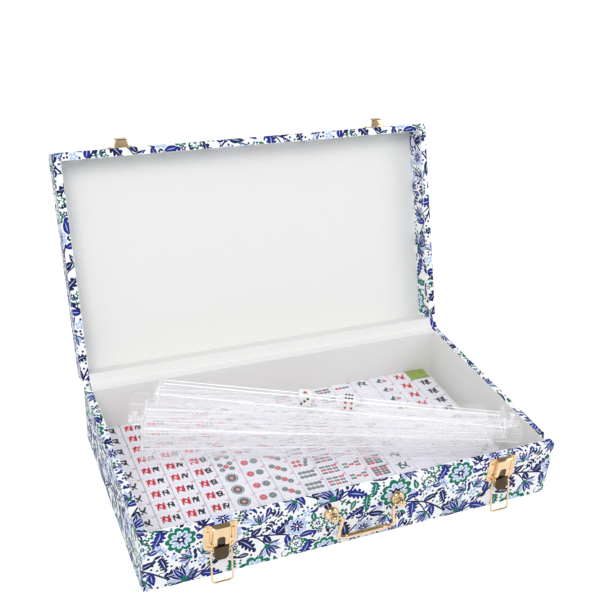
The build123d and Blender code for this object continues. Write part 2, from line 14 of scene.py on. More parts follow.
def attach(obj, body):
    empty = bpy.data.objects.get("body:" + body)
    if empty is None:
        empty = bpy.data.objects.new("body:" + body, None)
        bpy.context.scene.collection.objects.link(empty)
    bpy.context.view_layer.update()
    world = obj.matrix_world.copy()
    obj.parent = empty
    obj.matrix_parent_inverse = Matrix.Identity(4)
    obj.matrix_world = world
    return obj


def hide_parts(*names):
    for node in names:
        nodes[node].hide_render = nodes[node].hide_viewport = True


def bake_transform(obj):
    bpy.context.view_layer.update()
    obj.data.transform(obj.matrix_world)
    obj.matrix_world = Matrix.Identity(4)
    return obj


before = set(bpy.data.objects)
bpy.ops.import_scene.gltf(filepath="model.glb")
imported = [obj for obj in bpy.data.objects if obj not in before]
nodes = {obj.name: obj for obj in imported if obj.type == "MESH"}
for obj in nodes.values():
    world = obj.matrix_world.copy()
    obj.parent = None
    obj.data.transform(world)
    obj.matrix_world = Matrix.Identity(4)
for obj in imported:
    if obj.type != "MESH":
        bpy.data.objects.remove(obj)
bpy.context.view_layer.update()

# ---- sizes, as the source has them ----
LENGTH, WIDTH, TRAY, LID = 512.0, 284.0, 75.0, 33.0
RIM_GAP, WALL, LINING = 0.3, 9.5, 0.4
CORNER, TOP_EDGE, RIM_EDGE = 3.5, 2.0, 1.6  # rounds of the upright edges, the lid's top and the rims
FRONT = -WIDTH / 2
LID_RIM, ROOF = TRAY + RIM_GAP, TRAY + RIM_GAP + LID  # heights on the closed lid
HINGE_Y, HINGE_Z, OPEN = 145.9, 75.15, radians(111.4)
LATCHES = {"left": -171.0, "right": 181.0}
HINGES = (-165.0, 165.0)
TILE_L, TILE_W, TILE_H = 29.8, 22.0, 11.4
TILE_BACK = 4.3  # depth of a tile's olive layer
TILE_FLOOR = 3.4
BIT = 1e-6


# ---- small tools ----
def place(points, x, y, turn=0.0):
    """Flat points turned about the origin, then moved."""
    p = np.array(points, float)
    c, s = cos(turn), sin(turn)
    return np.stack([x + p[:, 0] * c - p[:, 1] * s, y + p[:, 0] * s + p[:, 1] * c], 1)


def polar(x, y, reach, angle):
    return x + reach * cos(angle), y + reach * sin(angle)


def opened(points):
    """Turns points of the closed lid back to its open stop."""
    p = np.array(points, float)
    return np.column_stack([p[:, 0], place(p[:, 1:] - (HINGE_Y, HINGE_Z), HINGE_Y, HINGE_Z, -OPEN)])


def anticlockwise(outline):
    """The cutter takes outlines that run anticlockwise."""
    p = np.array(outline, float)
    x, y = p[:, 0], p[:, 1]
    return p if np.dot(x, np.roll(y, -1)) > np.dot(y, np.roll(x, -1)) else p[::-1]


def rectangle(x0, y0, x1, y1):
    return [(x0, y0), (x1, y0), (x1, y1), (x0, y1)]


def rounded_outline(a, b, r, per=4):
    """Rectangle of half sizes a and b, with `per` points round each corner."""
    ring = []
    for cx, cy, q in ((a - r, b - r, 0), (-a + r, b - r, 1), (-a + r, -b + r, 2), (a - r, -b + r, 3)):
        ring += [polar(cx, cy, r, pi / 2 * (q + k / (per - 1))) for k in range(per)]
    return ring


def merged(parts):
    """Joins parts of (points, faces, material indices) into one."""
    points, faces, which, start = [], [], [], 0
    for verts, polygons, indices in parts:
        points.append(verts)
        faces += [[start + i for i in polygon] for polygon in polygons]
        which += indices
        start += len(verts)
    return np.vstack(points), faces, which


def in_scene(name, data):
    obj = bpy.data.objects.new(name, data)
    bpy.context.scene.collection.objects.link(obj)
    return obj


def add_mesh(name, points, faces, which, materials, smooth=False):
    """Object from points in millimetres, with one material index for each face."""
    mesh = bpy.data.meshes.new(name)
    mesh.from_pydata((np.array(points, float) / 1000).tolist(), [], [list(map(int, f)) for f in faces])
    for m in materials:
        mesh.materials.append(m)
    mesh.polygons.foreach_set("material_index", [int(i) for i in which])
    mesh.polygons.foreach_set("use_smooth", [smooth] * len(mesh.polygons))
    mesh.update()
    mesh.validate()
    return in_scene(name, mesh)


@contextmanager
def editing(mesh):
    """A mesh opened for editing, and written back at the end."""
    bm = bmesh.new()
    bm.from_mesh(mesh)
    yield bm
    bm.to_mesh(mesh)
    bm.free()


def weld(obj):
    """Joins the blocks of the paper where they meet."""
    with editing(obj.data) as bm:
        bmesh.ops.remove_doubles(bm, verts=bm.verts, dist=0.00002)
        bmesh.ops.recalc_face_normals(bm, faces=bm.faces)


def ease(obj, angle=38.0):
    """Smooth shading with the real edges kept sharp."""
    obj.data.polygons.foreach_set("use_smooth", [True] * len(obj.data.polygons))
    with editing(obj.data) as bm:
        bmesh.ops.recalc_face_normals(bm, faces=bm.faces)
        for e in bm.edges:
            e.smooth = len(e.link_faces) == 2 and e.calc_face_angle(0) < radians(angle)


def dress(obj, body, slot, *hidden):
    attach(obj, body)
    if hidden:
        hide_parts(*hidden)
    return obj


# ---- materials ----
def add_node(tree, kind, inputs=None, **settings):
    """New shader node. An input takes a value, or the output that feeds it."""
    node = tree.nodes.new("ShaderNode" + kind)
    for key, value in settings.items():
        setattr(node, key, value)
    for key, value in (inputs or {}).items():
        if isinstance(value, bpy.types.NodeSocket):
            tree.links.new(value, node.inputs[key])
        else:
            node.inputs[key].default_value = value
    return node


def empty_tree(owner):
    owner.use_nodes = True
    owner.node_tree.nodes.clear()
    return owner.node_tree


def add_ramp(tree, value, *stops):
    """Colour ramp between two stops of (place, colour)."""
    node = add_node(tree, "ValToRGB", {"Fac": value})
    for point, (at, colour) in zip(node.color_ramp.elements, stops):
        point.position = at
        point.color = (*colour, 1.0)
    return node.outputs["Color"]


class Surface:
    """One Principled material with its nodes: coloured noise, uneven gloss and a bump."""

    def __init__(self, name, **sockets):
        self.material = bpy.data.materials.new(name)
        self.material.use_nodes = True
        self.tree = self.material.node_tree
        self.shader = self.tree.nodes["Principled BSDF"]
        for key, value in sockets.items():
            self.shader.inputs[key.replace("_", " ")].default_value = value
        self.place = self.node("TexCoord").outputs["Object"]
        self.bump = None

    def node(self, kind, inputs=None, **settings):
        return add_node(self.tree, kind, inputs, **settings)

    def feed(self, socket, output):
        self.tree.links.new(output, self.shader.inputs[socket])

    def noise(self, scale, stretch=(1, 1, 1), turn=(0, 0, 0), detail=4.0, rough=0.55, source=None):
        at = self.node("Mapping", {"Vector": source or self.place, "Scale": stretch, "Rotation": turn})
        settings = {"Vector": at.outputs[0], "Scale": scale, "Detail": detail, "Roughness": rough}
        return self.node("TexNoise", settings).outputs["Fac"]

    def span(self, value, low, high, bottom, top):
        """What runs from low to high in a value, made to run from bottom to top."""
        ends = {"Value": value, "From Min": low, "From Max": high, "To Min": bottom, "To Max": top}
        return self.node("MapRange", ends).outputs["Result"]

    def colours(self, value, *stops):
        self.feed("Base Color", add_ramp(self.tree, value, *stops))

    def gloss(self, value, low, high):
        self.feed("Roughness", self.span(value, 0.3, 0.7, low, high))

    def relief(self, value, strength, distance):
        inputs = {"Height": value, "Strength": strength, "Distance": distance}
        if self.bump:
            inputs["Normal"] = self.bump
        self.bump = self.node("Bump", inputs).outputs["Normal"]
        self.feed("Normal", self.bump)


def tint(colour, k):
    return tuple(min(1.0, c * k) for c in colour)


def paper(name, colour, vary=0.08, rough=(0.42, 0.6), linen=0.10):
    """Printed or plain book paper: ink mottling and a fine woven grain."""
    s = Surface(name, Specular_IOR_Level=0.14)
    mottle = s.noise(900.0, detail=5.0)
    s.colours(mottle, (0.3, tint(colour, 1 - vary)), (0.7, tint(colour, 1 + vary * 0.6)))
    s.gloss(s.noise(300.0), *rough)
    s.relief(s.noise(60.0, (14, 26, 26), detail=2.0), linen, 0.0004)
    s.relief(s.noise(60.0, (26, 14, 14), (0.3, 0, 0), detail=2.0), linen, 0.0004)
    return s.material


def brass(name, colour=(0.83, 0.61, 0.37), low=0.07, high=0.17):
    """Plated metal: clouded colour, fine drawn lines and a slightly uneven sheet."""
    s = Surface(name, Metallic=1.0)
    cloud = s.noise(90.0, detail=6.0)
    s.colours(cloud, (0.3, tint(colour, 0.86)), (0.7, tint(colour, 1.1)))
    s.gloss(s.noise(400.0, (1, 1, 6), detail=6.0), low, high)
    s.relief(s.noise(1500.0, (1, 1, 8), detail=2.0), 0.05, 0.00006)
    s.relief(s.noise(90.0, detail=1.0), 0.2, 0.0006)
    return s.material


def plastic(name, colour, vary=0.03, low=0.16, high=0.26, **sockets):
    s = Surface(name, **sockets)
    s.colours(s.noise(45.0, detail=3.0), (0.3, tint(colour, 1 - vary)), (0.7, tint(colour, 1 + vary)))
    s.gloss(s.noise(160.0), low, high)
    s.relief(s.noise(220.0, detail=2.0), 0.04, 0.0003)
    return s.material


def acrylic(name, colour, cover, rough, streaked=0.0):
    """Clear plastic as thin tinted walls, which grow whiter where they are seen edge on.
    streaked: white of the fine lines that run along the racks."""
    racks_lie = radians(20.0)  # about how far the racks are turned from the case's length
    s = Surface(name, IOR=1.49)
    s.colours(s.noise(30.0, (1, 5, 5)), (0.3, tint(colour, 0.95)), (0.7, colour))
    s.gloss(s.noise(50.0, (1, 8, 8)), rough * 0.6, rough * 1.5)
    s.relief(s.noise(70.0, (0.2, 1, 1), detail=1.0), 0.05, 0.0004)
    edge_on = s.node("LayerWeight", {"Blend": 0.35}).outputs["Facing"]
    wall = s.span(edge_on, 0.0, 1.0, cover, min(1.0, cover * 3.6))
    along = s.node("Mapping", {"Vector": s.place, "Rotation": (0, 0, racks_lie)}).outputs[0]
    lines = s.noise(200.0, (0.004, 1, 1), detail=0.5, rough=0.5, source=along)
    white = s.span(lines, 0.61, 0.68, 0.0, streaked)
    total = s.node("Math", {0: wall, 1: white}, use_clamp=True).outputs[0]
    # the light that passes isn't stopped by the thin walls
    shade = s.span(s.node("LightPath").outputs["Is Shadow Ray"], 0.0, 1.0, 1.0, 0.25)
    s.feed("Alpha", s.node("Math", {0: total, 1: shade}, operation="MULTIPLY").outputs[0])
    return s.material


INK = {
    "white": paper("print_ground", (0.94, 0.948, 0.955), 0.02),
    "navy": paper("print_navy", (0.014, 0.014, 0.105), 0.3),
    "blue": paper("print_blue", (0.020, 0.028, 0.26), 0.3),
    "green": paper("print_green", (0.004, 0.19, 0.12), 0.25),
    "pale": paper("print_pale_blue", (0.48, 0.62, 0.88), 0.12),
    "teal": paper("print_teal", (0.10, 0.34, 0.40), 0.25),
}
lining_paper = paper("lining_paper", (0.84, 0.832, 0.812), 0.03, (0.6, 0.75), 0.28)
base_paper = paper("base_paper", (0.78, 0.77, 0.75), 0.04, (0.6, 0.75), 0.2)
raw_board = paper("raw_board", (0.42, 0.37, 0.29), 0.15, (0.75, 0.9), 0.5)
gold = brass("gold_plate")
# painted dark reflection and shade: the levers and the scoops are the same brass as the rest, painted dark, the levers
# as mirroring dark surroundings and the scoops as lying in shade
painted_dark_brass = brass("painted_dark_reflection_brass", (0.085, 0.06, 0.038), 0.06, 0.14)
tile_white = plastic("tile_white", (0.86, 0.845, 0.915), 0.03, 0.12, 0.24, Coat_Weight=0.3)
tile_back = plastic("tile_back", (0.29, 0.40, 0.10), 0.12, 0.2, 0.34)
ink_red = plastic("glyph_red", (0.60, 0.03, 0.045), 0.15, 0.3, 0.5)
ink_black = plastic("glyph_black", (0.018, 0.018, 0.028), 0.3, 0.3, 0.5)
ink_green = plastic("glyph_green", (0.075, 0.15, 0.125), 0.15, 0.3, 0.5)
die_white = plastic("die_white", (0.93, 0.92, 0.91), 0.03, 0.12, 0.22, Subsurface_Weight=0.05)
clear_plastic = acrylic("clear_acrylic", (0.98, 0.97, 1.0), 0.05, 0.05, 0.42)
clear_edge = acrylic("clear_acrylic_edge", (1.0, 1.0, 1.0), 0.95, 0.05)

# ---- the print: a vine pattern of this script's own, drawn as flat shapes ----
DRAWN_U, DRAWN_V = 128.0, 98.0  # the repeat as it is drawn; every second one is half a drop lower
VINES = (24.0, 24.0 + DRAWN_V / 2)  # base lines of the two vines in it
PRINT_SCALE = 1.32
REPEAT_U, REPEAT_V = DRAWN_U * PRINT_SCALE, DRAWN_V * PRINT_SCALE
drawn = []  # (outline, ink), later ones lie on top


def draw(points, ink, x, y, turn=0.0):
    drawn.append((anticlockwise(place(points, x, y, turn)), ink))


def both_sides(length, bend, stations):
    """Upper and lower edge of a leaf along +x, whose middle line bends sideways, from stations of
    (part of the length, half width)."""
    return [[(t * length, bend * t * t + s * half) for t, half in stations] for s in (1, -1)]


def lance(length, width, bend=0.0, n=5, full=0.8, t0=0.0, t1=1.0):
    """Pointed leaf or petal."""
    stations = []
    for i in range(n + 1):
        t = t0 + (t1 - t0) * i / n
        stations.append((t, width / 2 * sin(pi * ((t - t0) / (t1 - t0)) ** full)))
    upper, lower = both_sides(length, bend, stations)
    return lower + upper[1:-1][::-1]


def headings(line):
    """Unit vectors along a line of points."""
    d = np.gradient(line, axis=0)
    return d / np.linalg.norm(d, axis=1)[:, None]


def ribbon(line, start, end):
    """Tapered band along a line."""
    line = np.array(line, float)
    d = headings(line)
    half = np.linspace(start, end, len(line))[:, None] / 2
    side = np.stack([-d[:, 1], d[:, 0]], 1) * half
    return np.vstack([line - side, (line + side)[::-1]])


def scallop(petals, inner, outer, per=4, power=0.7, phase=0.0):
    """Round outline that swells into petals, with `per` points in each."""
    out = []
    for i in range(petals * per):
        a = 2 * pi * i / (petals * per)
        r = inner + (outer - inner) * abs(sin(a * petals / 2)) ** power
        out.append(polar(0, 0, r, a + phase))
    return out


def disc(r, n=8):
    return [polar(0, 0, r, 2 * pi * i / n) for i in range(n)]


def frond(length, width, bend, lobes=5):
    """Feathered leaf with rounded teeth on both sides."""
    stations, tip = [], 1.06
    for i in range(lobes):
        half = width / 2 * sin(pi * (0.18 + 0.78 * (i + 0.5) / lobes))
        for step, full in ((0.0, 0.48), (0.55, 1.0), (0.85, 0.85)):
            stations.append((min(1.0, (i + 0.15) / lobes + step / lobes * 1.1), half * full))
    upper, lower = both_sides(length, bend, stations)
    return [(0, 0)] + lower + [(tip * length, bend * tip * tip)] + upper[::-1]


def plain_leaf(x, y, turn, length, width, bend, ink="blue", rib="pale"):
    draw(lance(length, width, bend), ink, x, y, turn)
    if rib:
        draw(lance(length, width * 0.12, bend, 3, 1.0, 0.15, 0.75), rib, x, y, turn)


def frond_leaf(x, y, turn, length, width, bend, ink="blue"):
    draw(frond(length, width, bend), ink, x, y, turn)
    draw(lance(length, 0.9, bend, 4, 1.0, 0.08, 0.85), "pale", x, y, turn)


def great_flower(x, y, turn, size, outer="green", middle="pale", heart="navy"):
    """Round flower: a broad scalloped crown round a ring of pointed petals."""
    for inner, rim, ink in ((0.88, 1.1, "white"), (0.78, 1.0, outer), (0.5, 0.73, "white")):
        draw(scallop(9, size * inner, size * rim, 4, 0.6, turn), ink, x, y)
    for k in range(9):
        a = turn + (k + 0.5) * 2 * pi / 9
        root = polar(x, y, size * 0.22, a)
        draw(lance(size * 0.5, size * 0.26, 0, 4), middle, *root, a)
        if k % 3 == 0:
            draw(lance(size * 0.4, size * 0.1, 0, 3), heart, *root, a)
    draw(scallop(6, size * 0.22, size * 0.32, 3, 0.6, turn), heart, x, y)
    draw(disc(size * 0.11, 7), "white", x, y)


def pale_flower(x, y, turn, size):
    great_flower(x, y, turn, size, "pale", "blue", "navy")


def fan_flower(x, y, turn, size, inks=("navy", "pale", "blue")):
    """Half-open flower: petals spread from a cup."""
    petals = ((-1.15, 0), (1.15, 0), (-0.72, 1), (0.72, 1), (-0.33, 0), (0.33, 0), (0.0, 2))
    for a, which in petals:
        ink, bend = inks[which], size * 0.12 * np.sign(a)
        length = size * (1.0 - 0.16 * abs(a))
        draw(lance(length * 1.05, size * 0.36, bend, 5, 0.75), "white", x, y, turn + a)
        draw(lance(length, size * 0.32, bend, 5, 0.75), ink, x, y, turn + a)
        if ink != "pale":
            draw(lance(length, size * 0.05, bend, 3, 1.0, 0.25, 0.8), "pale", x, y, turn + a)
    draw(scallop(5, size * 0.14, size * 0.2, 3, 0.6), "green", x, y)


def small_flower(x, y, turn, size, ink="green", heart="white"):
    draw(scallop(5, size * 0.45, size, 4, 0.55, turn), ink, x, y)
    draw(disc(size * 0.28, 6), heart, x, y)


def sprig(x, y, turn, length, leaves, ink, bend):
    """Thin stalk with small leaves or berries in pairs, and one at its end."""
    t = np.linspace(0, 1, 6)
    draw(ribbon(np.stack([t * length, bend * t * t], 1), 1.1, 0.7), "navy", x, y, turn)
    for i in range(leaves):
        f = (i + 1) / leaves
        at = place([(f * length, bend * f * f)], x, y, turn)[0]
        heading = turn + atan2(2 * bend * f, length)
        for side in (-1, 1):
            if ink == "berry":
                berry = "green" if (i + side) % 3 else "navy"
                draw(disc(1.55, 7), berry, *polar(*at, 2.6, heading + side * 1.0))
            else:
                draw(lance(5.2 - 1.2 * f, 2.4, side * 0.5, 4), ink, *at, heading + side * 0.85)
    if ink == "berry":
        draw(disc(1.5, 7), "blue", *at)
    else:
        draw(lance(5.8, 2.7, 0, 4), ink, *at, heading)


def vine(x, base):
    """Height of a vine that repeats with the pattern."""
    return base + 15.0 * sin(2 * pi * x / DRAWN_U) + 3.5 * sin(4 * pi * x / DRAWN_U + 1.0)


def leaves_along(row, rng, busy):
    """Fronds, leaves and sprigs by turns on both sides of a vine."""
    base = VINES[row]
    for k in range(12):
        x = DRAWN_U * (k + 0.35 + 0.25 * rng.random()) / 12
        y = vine(x, base)
        slope = atan2(vine(x + 0.5, base) - vine(x - 0.5, base), 1.0)
        side = 1 if (k + row) % 2 else -1
        turn = slope + side * (0.75 + 0.35 * rng.random())
        if k % 3 == 1:
            length = 17 + 4 * rng.random()
            frond_leaf(x, y, turn, length, 12.0, side * 5, "blue" if rng.random() < 0.6 else "navy")
            busy.append((*polar(x, y, 9, turn), 7.5))
        else:
            length = 11 + 5 * rng.random()
            plain_leaf(x, y, turn, length * 1.1, 6.8, -side * 2.5, "navy" if rng.random() < 0.55 else "blue")
            busy.append((*polar(x, y, 6, turn), 4.5))
        if k % 2:
            away, ink = slope - side * 0.9, rng.choice(("berry", "blue", "teal", "green"))
            sprig(x + 3, vine(x + 3, base), away, 9.0, 2, ink, side * 2)
            busy.append((*polar(x + 3, y, 5, away), 4.5))


def flowers_on_stems(busy):
    flowers = (  # (x, its vine, height over it, kind, size, turn)
        (30.0, 0, 12.0, great_flower, 15.5, 0.2), (94.0, 1, -3.0, great_flower, 13.0, 0.7),
        (97.0, 0, 3.0, fan_flower, 17.0, 2.2), (40.0, 1, -12.0, fan_flower, 15.0, -0.9),
        (64.0, 0, -12.0, fan_flower, 13.5, -2.2), (8.0, 1, 13.0, pale_flower, 9.5, 0.1),
        (66.0, 1, 11.0, pale_flower, 10.0, 0.5), (2.0, 0, -13.0, pale_flower, 9.0, 0.5),
    )
    for x, row, over, kind, size, turn in flowers:
        y = vine(x, VINES[row]) + over
        root = x - 17.0 if turn < 1 else x + 17.0
        foot = vine(root, min(VINES, key=lambda base: abs(vine(root, base) - y)))
        stem = [(root + (x - root) * t, foot + (y - foot) * t * t) for t in (0, 0.25, 0.5, 0.75, 1)]
        draw(ribbon(stem, 1.7, 1.1), "navy", 0, 0)
        kind(x, y, turn, size)
        busy.append((x, y, size * 0.9))


def large_filler(x, y, turn, pick, rng):
    if pick < 0.4:
        bend, ink = 3 * rng.choice((-1, 1)), rng.choice(("blue", "green", "navy"))
        frond_leaf(*polar(x, y, -7, turn), turn, 16, 9.5, bend, ink)
    elif pick < 0.7:
        fan_flower(*polar(x, y, -4, turn), turn, 11, ("blue", "pale", "navy"))
    else:
        great_flower(x, y, turn, 7.5, "green", "white", "blue")


def middle_filler(x, y, turn, pick, rng):
    if pick < 0.45:
        ink = rng.choice(("blue", "green", "pale", "navy", "berry"))
        sprig(*polar(x, y, -5, turn), turn, 9.5, 3, ink, 1.6)
    elif pick < 0.75:
        small_flower(x, y, turn, 4.6, rng.choice(("green", "pale", "green", "blue")))
    else:
        ink = rng.choice(("navy", "blue", "pale", "green"))
        plain_leaf(*polar(x, y, -5.5, turn), turn, 12, 5.4, 2.4, ink, "white")


def small_filler(x, y, turn, pick, rng):
    if pick < 0.5:
        ink = rng.choice(("navy", "blue", "green", "blue"))
        plain_leaf(*polar(x, y, -3.2, turn), turn, 7.4, 3.3, 0.9, ink, None)
    elif pick < 0.8:
        small_flower(x, y, turn, 2.9, rng.choice(("green", "pale", "navy")))
    else:
        draw(ribbon([(-3, 0), (-1, 1.2), (1, 1.0), (3, -0.6)], 0.9, 0.5), "navy", x, y, turn)


def dot_filler(x, y, turn, pick, rng):
    draw(disc(1.25, 6), rng.choice(("green", "navy", "navy", "blue")), x, y)


def is_free(x, y, r, busy):
    """Whether a round place touches nothing that is drawn, in this repeat or the ones round it."""
    shifts = [(i * DRAWN_U, (j + i % 2 / 2) * DRAWN_V) for i in (-1, 0, 1) for j in (-1, 0, 1, 2)]
    return all((x - bx - du) ** 2 + (y - by - dv) ** 2 >= (r + br) ** 2
               for du, dv in shifts for bx, by, br in busy)


def draw_repeat():
    rng, busy = random.Random(11), []
    for base in VINES:
        draw(ribbon([(x, vine(x, base)) for x in np.linspace(0, DRAWN_U, 29)], 1.7, 1.7), "navy", 0, 0)
    for row in (0, 1):
        leaves_along(row, rng, busy)
    flowers_on_stems(busy)
    for r, tries, filler in ((6.3, 300, large_filler), (4.2, 600, middle_filler),
                             (2.6, 1200, small_filler), (1.3, 1600, dot_filler)):
        for _ in range(tries):
            x, y = rng.uniform(0, DRAWN_U), rng.uniform(0, DRAWN_V)
            if is_free(x, y, r, busy):
                busy.append((x, y, r * 0.86))
                filler(x, y, rng.uniform(0, 6.28), rng.random(), rng)


draw_repeat()
ink_shapes = [(shape * PRINT_SCALE, list(INK).index(ink)) for shape, ink in drawn]
shape_boxes = np.array([[*shape.min(0), *shape.max(0)] for shape, _ in ink_shapes])


def pattern_in(u0, v0, u1, v1):
    """Shapes of the repeat that reach into a window of the flat paper, lowest first."""
    found = []
    for i in range(floor((u0 - 40) / REPEAT_U) - 1, ceil((u1 + 40) / REPEAT_U) + 1):
        for j in range(floor((v0 - 40) / REPEAT_V) - 2, ceil((v1 + 40) / REPEAT_V) + 2):
            du, dv = i * REPEAT_U, j * REPEAT_V + (i % 2) * REPEAT_V / 2
            b = shape_boxes + (du, dv, du, dv)
            hit = np.flatnonzero((b[:, 0] < u1) & (b[:, 2] > u0) & (b[:, 1] < v1) & (b[:, 3] > v0))
            found += [(int(k), ink_shapes[k][0] + (du, dv), ink_shapes[k][1]) for k in hit]
    return sorted(found, key=lambda f: f[0])


def cut_along(domain, shapes, lines=()):
    """Cuts a flat domain along the outlines of shapes with their colours, later ones on top, and
    along lines. Returns points, triangles and colours."""
    points, faces, colours, edges = [Vector(p) for p in domain], [list(range(len(domain)))], [0], []
    for outline, colour in shapes:
        faces.append(list(range(len(points), len(points) + len(outline))))
        points += [Vector(p) for p in outline]
        colours.append(colour)
    for ends in lines:
        edges.append((len(points), len(points) + 1))
        points += [Vector(p) for p in ends]
    verts, _, triangles, _, _, origin = delaunay_2d_cdt(points, edges, faces, 1, 1e-4, True)
    kept = [(t, colours[max(o)]) for t, o in zip(triangles, origin) if 0 in o]
    return verts, [t for t, _ in kept], [colour for _, colour in kept]


def print_block(domain, shift, bends_u, bends_v):
    """Cuts one piece of flat paper along its pattern and where it bends."""
    domain, shift = anticlockwise(domain), np.array(shift)
    low, high = domain.min(0), domain.max(0)
    shapes = [(outline - shift, ink) for _, outline, ink in pattern_in(*(low + shift), *(high + shift))]
    lines = [((u, low[1]), (u, high[1])) for u in bends_u if low[0] + BIT < u < high[0] - BIT]
    lines += [((low[0], v), (high[0], v)) for v in bends_v if low[1] + BIT < v < high[1] - BIT]
    verts, triangles, inks = cut_along(domain, shapes, lines)
    used = sorted({i for t in triangles for i in t})
    number = {i: k for k, i in enumerate(used)}
    flat = np.array([tuple(verts[i]) for i in used])
    return flat, [[number[i] for i in t] for t in triangles], inks


# ---- printed paper on the tray and the lid ----
EIGHTH = CORNER * pi / 4  # half of a corner's arc, where two sides are mitred
EDGE_STRIP = WALL + LINING + 0.08  # inward distance of the print on the inside of the lid
LID_INSIDE = 29.0  # how deep the print reaches there


def passed(distance, inward, places):
    """Where the profile passes an inward distance."""
    found = []
    for a, b, u, v in zip(inward, inward[1:], places, places[1:]):
        if min(a, b) < distance < max(a, b):
            found.append(round(float(u + (v - u) * (distance - a) / (b - a)), 5))
    return found


def side_paper(span, profile, offset, bare):
    """Paper of one side of a box. profile: stations (v, inward, z) up the wall and over its rims;
    the ends are mitred. bare: whether only the corners of the open rim are covered."""
    straight = span / 2 - CORNER
    pv, pin, pz = (np.array(row) for row in zip(*profile))

    def shrink(inward):
        """The corner's arc gets shorter as the paper turns over the rim."""
        return np.clip((CORNER - inward) / (CORNER - TOP_EDGE), 0, 1)

    def half(v):
        inward = float(np.interp(v, pv, pin))
        return span / 2 - inward if inward >= CORNER else straight + EIGHTH * float(shrink(inward))

    crossings = {v for distance in (TOP_EDGE, CORNER) for v in passed(distance, pin, pv)}
    stations = sorted({round(float(v), 5) for v in pv} | crossings)
    main = stations
    if bare:
        low = round(float(pv[np.argmin(np.abs(pin - RIM_EDGE))]), 5)
        above = pin[-1] > pin[0]  # the bare part of the rim lies above `low`, or else below it
        main = sorted([low] + [v for v in stations if (v < low - 1e-3 if above else v > low + 1e-3)])
    bends = [s * (straight + EIGHTH * k / 2) for s in (-1, 1) for k in (0, 1)]

    def end_block(s, edge):
        mitre = [(s * half(v), v) for v in stations]
        outline = [(edge, stations[0]), *mitre, (edge, stations[-1])]
        if bare:
            inner = s * (span / 2 - WALL)
            outline = [(edge, stations[0]), *mitre, (inner, low), (edge, low)]
            if not above:
                outline = [(edge, low), (inner, low), *mitre, (edge, stations[-1])]
        clean = [p for i, p in enumerate(outline) if dist(p, outline[i - 1]) > 1e-5]
        return print_block(clean, offset, bends, stations)

    cuts = np.linspace(-straight + 20, straight - 20, max(2, round((2 * straight - 40) / 82)) + 1)
    blocks = [end_block(-1, cuts[0])]
    for a, b in zip(cuts, cuts[1:]):
        blocks.append(print_block(rectangle(a, main[0], b, main[-1]), offset, (), stations))
    blocks.append(end_block(1, cuts[-1]))

    def bent(uv):
        u, v = uv[:, 0], uv[:, 1]
        inward, z = np.interp(v, pv, pin), np.interp(v, pv, pz)
        past = np.maximum(np.abs(u) - straight, 0)
        turn = np.minimum(past / np.maximum(CORNER * shrink(inward), BIT), pi / 4)
        r = np.maximum(CORNER - inward, 0)
        over = np.where(past > 0, r * np.sin(turn), 0)
        drop = np.where((past > 0) & (inward < CORNER), CORNER - r * np.cos(turn), inward)
        return np.stack([np.sign(u) * (np.minimum(np.abs(u), straight) + over), drop, z], 1)

    return merged((bent(uv), triangles, inks) for uv, triangles, inks in blocks)


def on_side(k, points):
    """Local (along, inward, z) of side k, which is front, right, back or left, to the case."""
    x, inward, z = points.T
    sides = ((x, FRONT + inward), (LENGTH / 2 - inward, x), (-x, -FRONT - inward), (-LENGTH / 2 + inward, -x))
    return np.column_stack([*sides[k], z])


def wrapped(profiles, offset_u, offset_v):
    """Paper right round a box; the pattern runs on from side to side. The back's rim stays bare."""
    lost = 2 * (EIGHTH - CORNER)  # what the rounded corners take off the way round
    sides = []
    for k, span in enumerate((LENGTH, WIDTH, LENGTH, WIDTH)):
        start = k * (LENGTH + WIDTH) / 2 + k * lost + offset_u
        sides.append(side_paper(span, profiles[k], (start, offset_v), bare=k == 2))
    return merged((on_side(k, points), faces, inks) for k, (points, faces, inks) in enumerate(sides))


def quarter_round(v, inward, z, r, onto_flat):
    """Quarter round as stations, from a wall onto a flat, or else from a flat to a wall."""
    found = []
    for k in (1, 2, 3):
        a = pi / 2 * k / 3
        run, rise = (1 - cos(a), sin(a)) if onto_flat else (-sin(a), 1 - cos(a))
        found.append((v + r * a, inward + r * run, z + r * rise))
    return found


def tray_profile():
    stations = [(0.0, 0.0, 0.0), (TRAY - RIM_EDGE, 0.0, TRAY - RIM_EDGE)]
    stations += quarter_round(TRAY - RIM_EDGE, 0.0, TRAY - RIM_EDGE, RIM_EDGE, True)
    return stations + [(stations[-1][0] + WALL - RIM_EDGE, WALL, TRAY)]


def lid_profile(inside):
    """From the rim's inner edge out over the rim, up the wall and over the top's easing."""
    stations = []
    if inside:
        stations = [(-depth, EDGE_STRIP, LID_RIM + depth) for depth in (LID_INSIDE, 0.8)]
    stations += [(0.0, WALL, LID_RIM), (WALL - RIM_EDGE, RIM_EDGE, LID_RIM)]
    stations += quarter_round(WALL - RIM_EDGE, RIM_EDGE, LID_RIM, RIM_EDGE, False)
    v = stations[-1][0] + LID - RIM_EDGE - TOP_EDGE
    return stations + [(v, 0.0, ROOF - TOP_EDGE)] + quarter_round(v, 0.0, ROOF - TOP_EDGE, TOP_EDGE, True)


def printed(name, points, faces, inks):
    obj = add_mesh(name, points, faces, inks, INK.values())
    weld(obj)
    return obj


def printed_tray():
    points, faces, inks = wrapped([tray_profile()] * 4, 0.0, 6.0)
    dress(printed("tray_printed_paper", points, faces, inks), "tray", "printed_paper", "tray_cover")


def printed_lid():
    points, faces, inks = wrapped([lid_profile(k != 2) for k in range(4)], 40, 31.0)
    walls = printed("lid_printed_paper", opened(points), faces, inks)
    points, faces, inks = merged(lid_top_blocks())
    top = printed("lid_top_printed_paper", opened(points), faces, inks)
    dress(top, "lid", "printed_paper")
    dress(walls, "lid", "printed_paper", "lid_cover")


